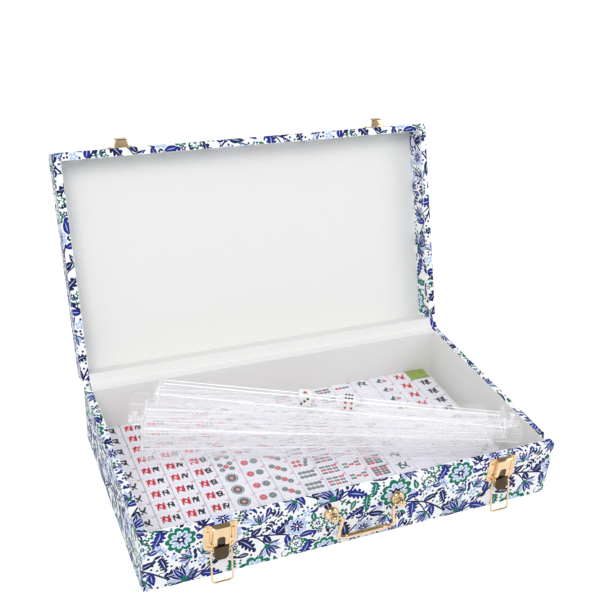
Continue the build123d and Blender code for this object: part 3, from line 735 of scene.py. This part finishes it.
def lid_top_blocks():
    """The lid's top in rectangles, those at its corners rounded."""
    a, b = LENGTH / 2 - TOP_EDGE, WIDTH / 2 - TOP_EDGE
    ring = rounded_outline(a, b, CORNER - TOP_EDGE, 3)
    xs, ys = np.linspace(-a, a, 7), np.linspace(-b, b, 4)
    for x0, x1 in zip(xs, xs[1:]):
        for y0, y1 in zip(ys, ys[1:]):
            box = rectangle(x0, y0, x1, y1)
            outline = [p for p in box if abs(abs(p[0]) - a) >= BIT or abs(abs(p[1]) - b) >= BIT]
            outline += [p for p in ring if x0 - BIT <= p[0] <= x1 + BIT and y0 - BIT <= p[1] <= y1 + BIT]
            cx, cy = (x0 + x1) / 2, (y0 + y1) / 2
            outline.sort(key=lambda p: atan2(p[1] - cy, p[0] - cx))
            uv, triangles, inks = print_block(outline, (17.0, 160.0), (), ())
            yield np.column_stack([uv, np.full(len(uv), ROOF)]), triangles, inks


# ---- tiles ----
GLYPH = {"white": 0, "red": 2, "black": 3, "green": 4}  # places in the tiles' list of materials
DOTS = {  # radius and places of the wheels, for each number
    2: (5.0, [(0, 5.2, "green"), (0, -6.8, "red")]),
    3: (4.0, [(5, 5.4, "green"), (0, -0.8, "red"), (-5, -7.0, "green")]),
    4: (4.0, [(-4.6, 5, "green"), (4.6, 5, "green"), (-4.6, -6.4, "green"), (4.6, -6.4, "green")]),
    5: (3.7, [(-4.8, 5.4, "green"), (4.8, 5.4, "green"), (0, -0.8, "red")]
        + [(x, -7, "green") for x in (-4.8, 4.8)]),
    7: (2.9, [(-5, 8, "green"), (0, 6, "green"), (5, 4, "green")]
        + [(x, y, "red") for y in (-2.6, -9) for x in (-3.6, 3.6)]),
    8: (2.9, [(x, y, "green") for x in (-3.8, 3.8) for y in (7.6, 2.2, -3.4, -9)]),
}
BARS = {2: (1, 1), 3: (1, 2), 4: (2, 2), 5: (2, 1, 2), 6: (3, 3), 8: (4, 4), 9: (3, 3, 3)}  # in each row
DIGIT_BARS = ("", "r", "tumbl", "tumrb", "lmr", "tlmrb", "tlmrb", "tr", "tlmrb", "tlmrb")  # of 0 to 9
CHARACTER_COLUMNS = {1: "58887788888", 2: "44999955559", 3: "33166666333"}  # numbers, from the back
LAID = [  # kinds and counts, as they lie column by column
    ("winds", 11), ("characters", 36), ("dots", 29), ("bamboo", 3), ("dots", 7), ("bamboo", 33),
    ("jokers", 8), ("blank", 9), ("flowers", 8), ("blank", 2), ("dragons", 8), ("blank", 2), ("down", 1), ("winds", 5),
    ("dragons", 4)]
STEP_X, STEP_Y = 30.05, 22.25  # from one tile to the next
FIRST_X, FIRST_Y = -230.95, 120.85  # the tile in the back left corner
TOP_INSET = 1.3
UPRIGHT_RINGS = [  # inset and height of each ring up a tile
    (1.2, 0.0), (0.35, 0.35), (0.0, 1.2), (0.0, TILE_BACK), (0.0, TILE_H - 1.6),
    (0.16, TILE_H - 0.95), (0.5, TILE_H - 0.35), (TOP_INSET, TILE_H)]
# the same for a tile that lies face down
TURNED_RINGS = [(inset, TILE_H - z) for inset, z in UPRIGHT_RINGS[:0:-1]] + [(TOP_INSET, TILE_H)]
top_cache = {}


def shape(points, ink, x=0.0, y=0.0, turn=0.0):
    return place(points, x, y, turn), ink


def stroke(x0, y0, x1, y1, w0, w1, sag=0.0):
    """Brush stroke with a pressed start and a thinner end."""
    a, b = np.array([x0, y0]), np.array([x1, y1])
    d = (b - a) / np.linalg.norm(b - a)
    n = np.array([-d[1], d[0]])
    line = np.array([a + (b - a) * t + n * sag * 4 * t * (1 - t) for t in np.linspace(0, 1, 5)])
    side = n * np.array([w0 * 0.8, w0, (w0 + w1) / 2, w1, w1 * 0.5])[:, None] / 2
    return np.vstack([line + side, (line - side)[::-1]])


def digit(value, x, y, size, ink):
    """Small plain numeral of straight bars."""
    w, h, t = size * 0.5 / 2, size / 2, size * 0.25
    places = {"t": (-w, h, w, h), "m": (-w, 0, w, 0), "b": (-w, -h, w, -h),
              "r": (w, h, w, -h), "l": (-w, h, -w, -h), "u": (w, h, w, 0)}
    return [shape(stroke(*places[k], t, t), ink, x, y) for k in DIGIT_BARS[value]]


def brush_mark(seed, x, y, width, height, ink):
    """A figure of a few brush strokes that is no character of any script."""
    rng = random.Random(seed)
    w, h, t = width / 2, height / 2, width * 0.2
    lean = rng.uniform(-0.25, 0.25)
    marks = [
        stroke(-w * 0.9, h * 0.7, w * 0.5, h * 0.25, t * 0.8, t, 0.9),
        stroke(w * 0.8, h * 0.9, -w * 0.2, -h * 0.1, t * 0.6, t * 1.1, -0.7),
        stroke(-w * 0.8, -h * 0.2, w * 0.9, -h * 0.55, t, t * 0.7, -1.0),
        stroke(-w * 0.15, -h * 0.1, -w * 0.6, -h, t * 1.1, t * 0.5, 0.5),
    ]
    for _ in range(3):
        a, d = rng.uniform(0, 6.28), rng.uniform(0.45, 0.9)
        x0, y0 = w * d * cos(a), h * d * sin(a)
        x1, y1 = x0 + t * 1.6 * cos(a + 1.9), y0 + t * 1.9 * sin(a + 1.9)
        marks.append(stroke(x0, y0, x1, y1, t * 1.1, t * 0.6))
    return [shape(m, ink, x, y, lean) for m in marks]


def wheel(x, y, r, ink, heart=None):
    """Rings round a heart."""
    heart = heart or ink
    rings = ((1.0, 18, ink), (0.82, 16, "white"), (0.74, 14, ink), (0.34, 10, "white"), (0.25, 8, heart))
    return [shape(disc(r * part, sides), colour, x, y) for part, sides, colour in rings]


def bamboo(x, y, length, width, ink):
    """Two lengths of cane with a node between them and a pale line down the middle."""
    cane = rounded_outline(width / 2, length * 0.245, width * 0.4, 3)
    out = [shape(cane, ink, x, y + s * length * 0.25) for s in (-1, 1)]
    out.append(shape(rounded_outline(width * 0.36, length * 0.06, width * 0.1, 2), ink, x, y))
    return out + [shape(rectangle(-0.16, -length * 0.42, 0.16, length * 0.42), "white", x, y)]


def dots_face(n):
    if n > 1:
        radius, spots = DOTS[n]
        return [part for x, y, ink in spots for part in wheel(x, y, radius, ink)]
    y = -1.0
    out = wheel(0, y, 8.2, "green", "red")
    out += [shape(scallop(8, 1.6, 3.6, 3, 0.7), "red", 0, y), shape(disc(1.1, 8), "white", 0, y)]
    return out + [shape(disc(0.5, 6), "white", *polar(0, y, 7.45, k * pi / 6)) for k in range(12)]


def bamboo_face(n):
    rows, out = BARS[n], []
    tall = {2: 10.5, 3: 7.4}[len(rows)]
    for i, count in enumerate(rows):
        y = -0.8 + (len(rows) - 1) * (tall + 0.7) / 2 - i * (tall + 0.7)
        for k in range(count):
            x = (k - (count - 1) / 2) * (5.6 if count < 4 else 4.4)
            out += bamboo(x, y, tall, 3.9, "red" if (i + k + n) % 3 == 0 else "green")
    return out


def characters_face(n):
    out = brush_mark(40 + n, 0.6, 6.4, 12.0, 9.0, "black") + brush_mark(7, 0.0, -5.4, 15.0, 12.0, "red")
    out.append(shape(rounded_outline(3.4, 2.6, 0.6, 2), "red", 0, -4.8))
    return out + [shape(rounded_outline(1.9, 1.1, 0.3, 2), "white", 0, -4.8)]


def flowers_face(n):
    out = []
    for k in range(3):
        out.append(shape(lance(11 - 2 * k, 3.4, 2.0), "green", 0, -8 + 2 * k, pi / 2 + (k - 1) * 0.7))
    return out + [shape(scallop(5, 1.6, 3.6, 4, 0.6), "red", 2.0, 5.0), shape(disc(1.0, 7), "white", 2.0, 5.0)]


def honour_face(first_seed, inks, crossed):
    """Maker of faces with one large figure; crossed: with a stroke over it."""
    def face(n):
        ink = inks[n % len(inks)]
        out = brush_mark(first_seed + n, 0, 0.3, 14.0, 17.0, ink)
        return out + [shape(stroke(-4.5, -3.2, 4.5, -3.0, 1.6, 1.8, 0.3), ink)] if crossed else out
    return face


FACES = {
    "dots": dots_face, "bamboo": bamboo_face, "characters": characters_face, "flowers": flowers_face,
    "winds": honour_face(80, ("black",), True), "jokers": honour_face(160, ("green",), False),
    "dragons": honour_face(120, ("red", "green", "black"), True),
}


def top_face(kind, n):
    """The rounded top of a tile, cut along its figure and a numeral in the corner: points,
    triangles, colours, and which points lie on the rim."""
    if (kind, n) not in top_cache:
        ring = rounded_outline(TILE_L / 2 - TOP_INSET, TILE_W / 2 - TOP_INSET, 1.1)
        figure = FACES[kind](n) + digit(n, -8.0, 11.6, 2.9, "red") if kind in FACES else []
        shapes = []
        for outline, ink in figure:
            outline = anticlockwise(outline)
            shapes.append((np.stack([outline[:, 1], -outline[:, 0]], 1), GLYPH[ink]))  # its top is towards +X
        verts, triangles, colours = cut_along(ring, shapes)
        verts = np.array([tuple(v) for v in verts])
        rim = [int(np.argmin(((verts - p) ** 2).sum(1))) for p in np.array(ring)]
        top_cache[(kind, n)] = (verts, triangles, colours, rim)
    return top_cache[(kind, n)]


def one_tile(kind, n):
    """Points, faces and material indices of a tile that stands on the origin."""
    turned = kind == "down"
    rings = TURNED_RINGS if turned else UPRIGHT_RINGS
    verts, triangles, colours, rim = top_face(kind, n)
    count, points = len(rim), []
    for inset, z in rings[:-1]:
        outline = rounded_outline(TILE_L / 2 - inset, TILE_W / 2 - inset, max(0.8, 2.0 - inset * 0.6))
        points += [(x, y, z) for x, y in outline]
    top = len(points)
    points += [(x, y, TILE_H) for x, y in verts]
    numbers = [[k * count + i for i in range(count)] for k in range(len(rings) - 1)] + [[top + i for i in rim]]
    faces, which = [numbers[0][::-1]], [0 if turned else 1]
    for k, (low, high) in enumerate(zip(numbers, numbers[1:])):
        middle = (rings[k][1] + rings[k + 1][1]) / 2
        olive = middle > TILE_H - TILE_BACK if turned else middle < TILE_BACK
        for i in range(count):
            j = (i + 1) % count
            faces.append([low[i], low[j], high[j], high[i]])
            which.append(1 if olive else 0)
    faces += [[top + i for i in t] for t in triangles]
    return np.array(points), faces, which + [1 if turned else colour for colour in colours]


def number_on(kind, column, row, seen):
    if kind == "characters":
        return int(CHARACTER_COLUMNS.get(column, "2" * 11)[row])
    if kind == "dots":
        return {4: 5 if row < 6 else 1, 5: 2, 6: 3, 7: 8 if row % 3 else 7}.get(column, 4)
    if kind == "bamboo":
        return {7: 3, 8: 9, 9: 6 if row < 6 else 5, 10: 4 if row < 5 else 8}.get(column, 2)
    if kind in ("winds", "dragons"):
        return 1 + (row // 4 + column) % 4
    return 1 + seen % 4 if kind in FACES else 0


def lay_tiles():
    """The tiles in columns from the back, each a trace askew, as one mesh for each kind."""
    cells = [(c, r) for c in range(16) for r in range(11 if c < 6 else 10)]
    kinds = [kind for kind, count in LAID for _ in range(count)]
    groups, rng = {}, random.Random(5)
    for seen, ((column, row), kind) in enumerate(zip(cells, kinds)):
        points, faces, which = one_tile(kind, number_on(kind, column, row, seen))
        askew = radians(rng.uniform(-0.12, 0.12))
        flat = place(points[:, :2], FIRST_X + STEP_X * column, FIRST_Y - STEP_Y * row, askew)
        placed = np.column_stack([flat, points[:, 2] + TILE_FLOOR])
        groups.setdefault(kind, []).append((placed, faces, which))
    for kind, tiles in groups.items():
        node = "tile_face_down" if kind == "down" else "tiles_" + kind
        obj = add_mesh("laid_" + node, *merged(tiles), [tile_white, tile_back, ink_red, ink_black, ink_green])
        dress(obj, "tray", "tile", node)


# ---- dice ----
DIE_EDGE, PIP_STEP, PIP, PIP_BIG = 0.0024, 0.0038, 0.0018, 0.0024  # metres
PIPS = {
    1: [(0, 0)], 2: [(-1, 1), (1, -1)], 3: [(-1, -1), (0, 0), (1, 1)],
    4: [(-1, -1), (1, -1), (-1, 1), (1, 1)], 5: [(-1, -1), (1, -1), (-1, 1), (1, 1), (0, 0)],
    6: [(k, s) for s in (-1, 1) for k in (-1, 0, 1)],
}


def cad_die(node):
    """Middle, size and turn of the solid die."""
    co = np.array([v.co for v in nodes[node].data.vertices]) * 1000
    low, high = co[:, 2].min(), co[:, 2].max()
    flat = co[co[:, 2] > high - 0.01, :2]
    edges = [b - a for a in flat for b in flat if 12.0 < dist(a, b) < 14.5]
    angles = [atan2(y, x) for x, y in edges]
    turn = min((a for a in angles if -pi / 4 < a <= pi / 4), key=abs)
    return Vector((*flat.mean(0), (low + high) / 2)), high - low, turn


def make_die(node, body, top, front):
    """Rounded die standing where the CAD die stands, with sunk pips."""
    middle, size, turn = cad_die(node)
    obj, cutter = (in_scene(name, bpy.data.meshes.new(name)) for name in (node + "_rounded", "pips"))
    for m in (die_white, ink_red, ink_black):
        obj.data.materials.append(m)
        cutter.data.materials.append(m)
    with editing(obj.data) as bm:
        bmesh.ops.create_cube(bm, size=size / 1000)
        geom = bm.edges[:] + bm.verts[:]
        bmesh.ops.bevel(bm, geom=geom, offset=DIE_EDGE, segments=4, profile=0.6, affect="EDGES")
        for f in bm.faces:
            f.smooth = True
    left, right = [v for v in range(1, 7) if v not in (top, 7 - top, front, 7 - front)]
    sides = {(0, 0, 1): top, (0, 0, -1): 7 - top, (0, -1, 0): front, (0, 1, 0): 7 - front,
             (-1, 0, 0): left, (1, 0, 0): right}
    with editing(cutter.data) as bm:
        for normal, value in sides.items():
            normal = Vector(normal)
            facing = normal.to_track_quat("Z", "Y")
            for u, v in PIPS[value]:
                at = facing @ Vector((u * PIP_STEP, v * PIP_STEP, 0)) + normal * (size / 2000 + 0.0007)
                radius = PIP_BIG if value == 1 else PIP
                ball = bmesh.ops.create_uvsphere(bm, u_segments=16, v_segments=10, radius=radius)
                bmesh.ops.translate(bm, verts=ball["verts"], vec=at)
                for f in {f for vert in ball["verts"] for f in vert.link_faces}:
                    f.material_index = 1 if value in (1, 4) else 2
    cut = obj.modifiers.new("pips", "BOOLEAN")
    cut.object, cut.operation, cut.solver = cutter, "DIFFERENCE", "EXACT"
    mesh = bpy.data.meshes.new_from_object(obj.evaluated_get(bpy.context.evaluated_depsgraph_get()))
    obj.modifiers.clear()
    obj.data = mesh
    bpy.data.objects.remove(cutter)
    mesh.transform(Matrix.Translation(middle / 1000) @ Matrix.Rotation(turn, 4, "Z"))
    dress(obj, body, "dice", node)


# ---- brass pieces ----
RIVET_HEAD = [(0.0, 2.2), (0.35, 2.2), (0.75, 1.75), (1.0, 1.1), (1.1, 0.5)]
LOOP_Z, LOOP_OUT, LOOP_LEAN = 39.5, 4.5, radians(12.35)
LOOP_LENGTH, LOOP_HALF, LOOP_GAP = 38.9, 11.75, 6.3  # half widths of the wire and of its open end
HANDLE_X, HANDLE_Z, HANDLE_OUT = 41.5, 51.0, 11.0


def skin(rings, sides):
    """Faces between rings of points, closed at both ends."""
    starts = [(i * sides, (i + 1) * sides) for i in range(rings - 1)]
    faces = [[a + k, a + (k + 1) % sides, b + (k + 1) % sides, b + k] for a, b in starts for k in range(sides)]
    return faces + [list(range(sides))[::-1], [(rings - 1) * sides + k for k in range(sides)]]


def circle(centre, a, b, radius, sides):
    """Points round a centre, in the plane of a and b."""
    turns = [2 * pi * k / sides for k in range(sides)]
    return [tuple(centre + (a * cos(t) + b * sin(t)) * radius) for t in turns]


def wire_along(points, radius, bends, sides=14):
    """Round wire through corners, each drawn as an arc with its own radius."""
    corners = [Vector(p) for p in points]
    line = [corners[0]]
    for before, corner, after, r in zip(corners, corners[1:], corners[2:], bends):
        a, b = (before - corner).normalized(), (after - corner).normalized()
        reach = r / tan(a.angle(b) / 2)
        centre = corner + (a + b).normalized() * (r / sin(a.angle(b) / 2))
        start, end = corner + a * reach, corner + b * reach
        line += [centre + (start.lerp(end, k / 8) - centre).normalized() * r for k in range(9)]
    line.append(corners[-1])
    rings, normal = [], None
    for i, p in enumerate(line):
        d = (line[min(i + 1, len(line) - 1)] - line[max(i - 1, 0)]).normalized()
        normal = normal or d.orthogonal().normalized()
        normal = (normal - d * normal.dot(d)).normalized()
        rings += circle(p, normal, d.cross(normal), radius, sides)
    return np.array(rings), skin(len(line), sides)


def spun(centre, direction, stations, sides=40):
    """Turned form about a line from (along, radius) stations."""
    d = Vector(direction).normalized()
    a = d.orthogonal().normalized()
    rings = [circle(Vector(centre) + d * along, a, d.cross(a), radius, sides) for along, radius in stations]
    return np.vstack(rings), skin(len(stations), sides)


def golden(name, parts, body, *hidden):
    """One brass piece of several closed parts."""
    points, faces, which = merged((p, f, [0] * len(f)) for p, f in parts)
    obj = add_mesh(name, points, faces, which, [gold], smooth=True)
    ease(obj)
    dress(obj, body, "brass", *hidden)


def handle_pieces():
    """Turned rosette posts with a ball each, and the bail with its thicker grip."""
    z, out, foot = HANDLE_Z, FRONT - HANDLE_OUT, HANDLE_Z - 31.0
    stem, ball = 3.4, 4.7
    profile = [(0.0, 8.6), (0.6, 8.75), (1.2, 8.6)]
    for a in range(10, 90, 10):
        profile.append((1.2 + 4.8 * sin(radians(a)), stem + 5.0 * cos(radians(a))))
    for t in np.linspace(asin(stem / ball), pi - 0.05, 14):
        profile.append((HANDLE_OUT - ball * cos(t), ball * sin(t)))
    posts = [spun((s * HANDLE_X, FRONT, z), (0, -1, 0), profile) for s in (-1, 1)]
    for points, _ in posts:
        points[:, 1] = np.maximum(points[:, 1], FRONT - 15.6)  # the ball's front is flat
    golden("handle_rosettes", posts, "tray", "handle_posts")
    half = [(46.6, out, z), (31, out, z), (35.5, out, foot)]
    route = [(-x, y, up) for x, y, up in half] + half[::-1]
    grip = [(0, 2.0), (0.6, 2.7), (1.4, 2.9), (2.0, 2.5), (3.0, 2.7), (6, 3.0), (26, 3.2)]
    grip += [(46, 3.0), (49, 2.7), (50, 2.5), (50.6, 2.9), (51.4, 2.7), (52, 2.0)]
    parts = [wire_along(route, 2.0, [4.5] * 4), spun((-26, out, foot), (1, 0, 0), grip, 24)]
    golden("bail_handle", parts, "handle", "handle_bail")


def loop_pieces():
    y, foot = FRONT - LOOP_OUT, LOOP_Z - LOOP_LENGTH
    half = [(LOOP_GAP, y, LOOP_Z), (LOOP_HALF, y, LOOP_Z), (LOOP_HALF, y, foot)]
    route = [(-x, out, up) for x, out, up in half] + half[::-1]
    for side, x in LATCHES.items():
        wire, faces = wire_along(route, 1.1, [1.8, 3.6, 3.6, 1.8])
        leant = place(wire[:, 1:] - (y, LOOP_Z), y, LOOP_Z, -LOOP_LEAN)
        parts = [(np.column_stack([wire[:, 0] + x, leant]), faces)]
        golden(side + "_wire_loop", parts, side + "_loop", "latch_loop_" + side)


def rivet_heads(middles, aside, y, heights, on_lid=False):
    """Rivets to both sides of each middle, on the front wall or the back one."""
    heads = []
    for middle in middles:
        for x in (-aside, aside):
            for z in heights:
                points, faces = spun((middle + x, y, z), (0, np.sign(y), 0), RIVET_HEAD, 20)
                heads.append((opened(points) if on_lid else points, faces))
    return heads


def round_rivets():
    latches, front, back = LATCHES.values(), FRONT - 1.0, -FRONT + 1.0
    base = rivet_heads(latches, (38.0 + 18.4) / 4, front, (73.5 - 35.0 + 5.0, 73.5 - 3.6))
    golden("latch_base_round_rivets", base, "tray", "latch_base_rivets")
    catch = rivet_heads(latches, (34.0 + 18.6) / 4 - 0.3, front, (78.4 + 18.0 * 0.4,), True)
    golden("catch_round_rivets", catch, "lid", "catch_rivets")
    tray = rivet_heads(HINGES, 13.5, back, (HINGE_Z - 11.0,))
    golden("tray_hinge_round_rivets", tray, "tray", "tray_hinge_rivets")
    lid = rivet_heads(HINGES, 13.5, back, (HINGE_Z + 11.0,), True)
    golden("lid_hinge_round_rivets", lid, "lid", "lid_hinge_rivets")


# ---- racks and pressed parts ----
def eased_copy(node, name, width, materials, sharp=28.0, segments=1):
    """The node's own shape with eased edges; the easing takes the last material."""
    mesh = bpy.data.meshes.new(name)
    bm = bmesh.new()
    bm.from_mesh(nodes[node].data)
    bmesh.ops.remove_doubles(bm, verts=bm.verts, dist=BIT)
    bmesh.ops.dissolve_limit(bm, angle_limit=radians(1.0), verts=bm.verts, edges=bm.edges)
    for f in bm.faces:
        f.material_index = 0
    edges = [e for e in bm.edges if len(e.link_faces) == 2 and e.calc_face_angle(0) > radians(sharp)]
    bmesh.ops.bevel(bm, geom=edges, offset=width / 1000, offset_type="OFFSET", segments=segments, profile=0.5,
                    affect="EDGES", clamp_overlap=True, material=len(materials) - 1)
    bm.to_mesh(mesh)
    bm.free()
    for m in materials:
        mesh.materials.append(m)
    return in_scene(name, mesh)


def rack_pieces():
    for i in range(1, 5):
        for part in ("body", "end_plates", "pusher", "pusher_pin"):
            node = f"rack_{i}_{part}"
            obj = eased_copy(node, f"clear_{node}", 0.75, [clear_plastic, clear_edge])
            dress(obj, f"rack_{i}_pusher_arm" if part == "pusher" else f"rack_{i}", "clear_acrylic", node)


def eased_brass():
    """Pressed brass parts with their sharp edges broken; the levers are darker with a painted dark reflection, and the
    bases' scoops with painted shade and dark reflection.
    """
    for node, body in (("latch_bases", "tray"), ("catches", "lid"), ("tray_hinge_leaves", "tray"),
                       ("lid_hinge_leaves", "lid"), ("latch_lever_left", "left_lever"),
                       ("latch_lever_right", "right_lever")):
        # the levers take the brass with the painted dark reflection
        main = painted_dark_brass if node.startswith("latch_lever") else gold
        obj = eased_copy(node, node + "_eased", 0.18, [main, gold], 30.0, 2)
        ease(obj, 35.0)
        # painted shade and dark reflection: the faces in the scoops of the latch bases take the dark brass
        if node == "latch_bases":
            obj.data.materials.append(painted_dark_brass)
            for f in obj.data.polygons:
                x, y, z = f.center * 1000
                aside = min(abs(x - middle) for middle in LATCHES.values())
                if aside < 4.6 and abs(y - (FRONT - 4.65)) < 0.1 and 46.0 < z < 59.0:
                    f.material_index = 2
        dress(obj, body, "brass", node)


# ---- paper over the hinge ----
def bridge(obj):
    """Writes the piece's transform into its points."""
    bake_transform(obj)


def hinge_paper():
    """Lining paper from one rim to the other over the knuckles, and print over its ends."""
    radius, lift, thick, over, inset = 3.7, 0.06, 0.12, 0.03, 0.3
    path = [(139.0, TRAY + lift), (141.6, TRAY + lift)]
    path += [polar(HINGE_Y, HINGE_Z, radius, pi - OPEN * k / 8) for k in range(9)]
    path += [tuple(p[1:]) for p in opened([(0, y, LID_RIM - lift) for y in (141.6, 139.0)])]
    line = np.array(path)
    d = headings(line)
    down = np.stack([d[:, 1], -d[:, 0]], 1)
    loop = np.vstack([line, (line + down * thick)[::-1]])
    xs = np.linspace(-LENGTH / 2 + inset, LENGTH / 2 - inset, 27)
    n, last = len(loop), len(line) - 1
    faces = skin(len(xs), n)[:-2]
    for end in (0, (len(xs) - 1) * n):
        faces += [[end + k, end + k + 1, end + n - 2 - k, end + n - 1 - k] for k in range(last)]
    points = [(x, y, z) for x in xs for y, z in loop]
    strip = add_mesh("hinge_lining_strip", points, faces, [0] * len(faces), [lining_paper], smooth=True)
    ease(strip, 50.0)
    bridge(strip)
    at = np.concatenate([[0], np.cumsum(np.linalg.norm(np.diff(line, axis=0), axis=1))])
    print_line = line - down * over
    ends = []
    for s in (-1, 1):
        a, b = sorted((s * (LENGTH / 2 - WALL), s * (LENGTH / 2 - inset)))
        uv, triangles, inks = print_block(rectangle(a, at[0], b, at[-1]), (20.0, 3.0), (), at[1:-1])
        bent = [np.interp(uv[:, 1], at, print_line[:, axis]) for axis in (0, 1)]
        ends.append((np.column_stack([uv[:, 0], *bent]), triangles, inks))
    bridge(printed("hinge_printed_ends", *merged(ends)))


# ---- put it together ----
BY_NAME = (
    ("rack_", clear_plastic), ("lining", lining_paper), ("base_sheet", base_paper), ("_board", raw_board),
    ("_cover", INK["white"]), ("die_", tile_white), ("tile", tile_white), ("", gold),
)


def carried_over():
    """Gives every CAD node that stays in view its material; the metal ones are shaded smooth."""
    for name, obj in nodes.items():
        if not obj.hide_render:
            material = next(m for part, m in BY_NAME if part in name)
            obj.data.materials.clear()
            obj.data.materials.append(material)
            if material is gold:
                obj.data.polygons.foreach_set("use_smooth", [True] * len(obj.data.polygons))


def either(tree, a, b):
    return add_node(tree, "Math", {0: a, 1: b}, operation="MAXIMUM").outputs[0]


def mixed(tree, factor, first, second):
    return add_node(tree, "MixShader", {"Fac": factor, 1: first, 2: second}).outputs[0]


def lay_floor():
    """Floor that looks nearly white, and lights what stands on it as plain grey would."""
    r = 9.0
    mesh = bpy.data.meshes.new("floor")
    mesh.from_pydata([(x, y, 0) for x, y in rectangle(-r, -r, r, r)], [], [(0, 1, 2, 3)])
    ground = in_scene("floor", mesh)
    ground.location.z = -0.0001
    material = bpy.data.materials.new("floor_pale")
    t = empty_tree(material)
    rays = add_node(t, "LightPath").outputs
    lit = add_node(t, "BsdfDiffuse", {"Color": (0.8, 0.8, 0.8, 1)}).outputs[0]
    seen = add_node(t, "BsdfDiffuse", {"Color": (0.42, 0.42, 0.42, 1)}).outputs[0]
    glow = add_node(t, "Emission", {"Strength": 0.74}).outputs[0]
    bright = add_node(t, "AddShader", {0: seen, 1: glow}).outputs[0]
    direct = either(t, either(t, rays["Is Camera Ray"], rays["Is Glossy Ray"]), rays["Is Transmission Ray"])
    add_node(t, "OutputMaterial", {"Surface": mixed(t, direct, lit, bright)})
    mesh.materials.append(material)


def light_world():
    """Soft daylight: white behind the case, and dark overhead in what the brass mirrors."""
    world = bpy.data.worlds.new("studio")
    bpy.context.scene.world = world
    t = empty_tree(world)
    rays = add_node(t, "LightPath").outputs
    split = add_node(t, "SeparateXYZ", {0: add_node(t, "TexCoord").outputs["Generated"]})
    shade = add_ramp(t, split.outputs["Z"], (0.05, (1, 1, 1)), (0.75, (0.22, 0.21, 0.2)))
    light = add_node(t, "Background", {"Color": (0.96, 0.98, 1.0, 1), "Strength": 0.74}).outputs[0]
    mirrored = add_node(t, "Background", {"Color": shade}).outputs[0]
    white = add_node(t, "Background", {"Color": (1, 1, 1, 1)}).outputs[0]
    first = mixed(t, rays["Is Glossy Ray"], light, mirrored)
    seen = either(t, rays["Is Camera Ray"], rays["Is Transmission Ray"])
    add_node(t, "OutputWorld", {"Surface": mixed(t, seen, first, white)})


def softbox(name, at, size, power):
    data = bpy.data.lights.new(name, "AREA")
    data.shape, data.size, data.energy = "DISK", size, power
    obj = in_scene(name, data)
    obj.location = at
    obj.rotation_euler = (Vector((0, 0, 0.1)) - Vector(at)).to_track_quat("-Z", "Y").to_euler()


def set_camera():
    """The camera of the photograph, as it was fitted to the case's edges: lens and principal
    point in pixels of a 600 px frame."""
    frame_px, focal_px, centre_px = 600, 912.08, (287.32, 342.06)
    camera = bpy.data.cameras.new("camera")
    camera.sensor_width = 36.0
    camera.lens = 36.0 * focal_px / frame_px
    camera.shift_x = (300 - centre_px[0]) / frame_px
    camera.shift_y = (centre_px[1] - 300) / frame_px
    camera.clip_end = 50
    yaw, pitch, roll = (radians(a) for a in (24.19, 31.76, 3.83))
    obj = in_scene("camera", camera)
    obj.matrix_world = Matrix.Translation((-0.40944, -0.81264, 0.74084))
    for angle, axis in ((-yaw, "Z"), (pi / 2 - pitch, "X"), (roll, "Z")):
        obj.matrix_world = obj.matrix_world @ Matrix.Rotation(angle, 4, axis)
    bpy.context.scene.camera = obj


def studio():
    lay_floor()
    light_world()
    softbox("key_softbox", (-1.1, -1.5, 2.3), 1.6, 28.0)
    softbox("fill_softbox", (1.9, -1.1, 1.3), 1.4, 9.0)
    set_camera()
    bpy.context.scene.view_settings.view_transform = "Standard"
    bpy.context.scene.cycles.transparent_max_bounces = 64  # the racks are four deep


printed_tray()
printed_lid()
lay_tiles()
make_die("die_left", "left_die", 1, 3)
make_die("die_right", "right_die", 6, 4)
handle_pieces()
loop_pieces()
round_rivets()
rack_pieces()
eased_brass()
hinge_paper()
carried_over()
studio()
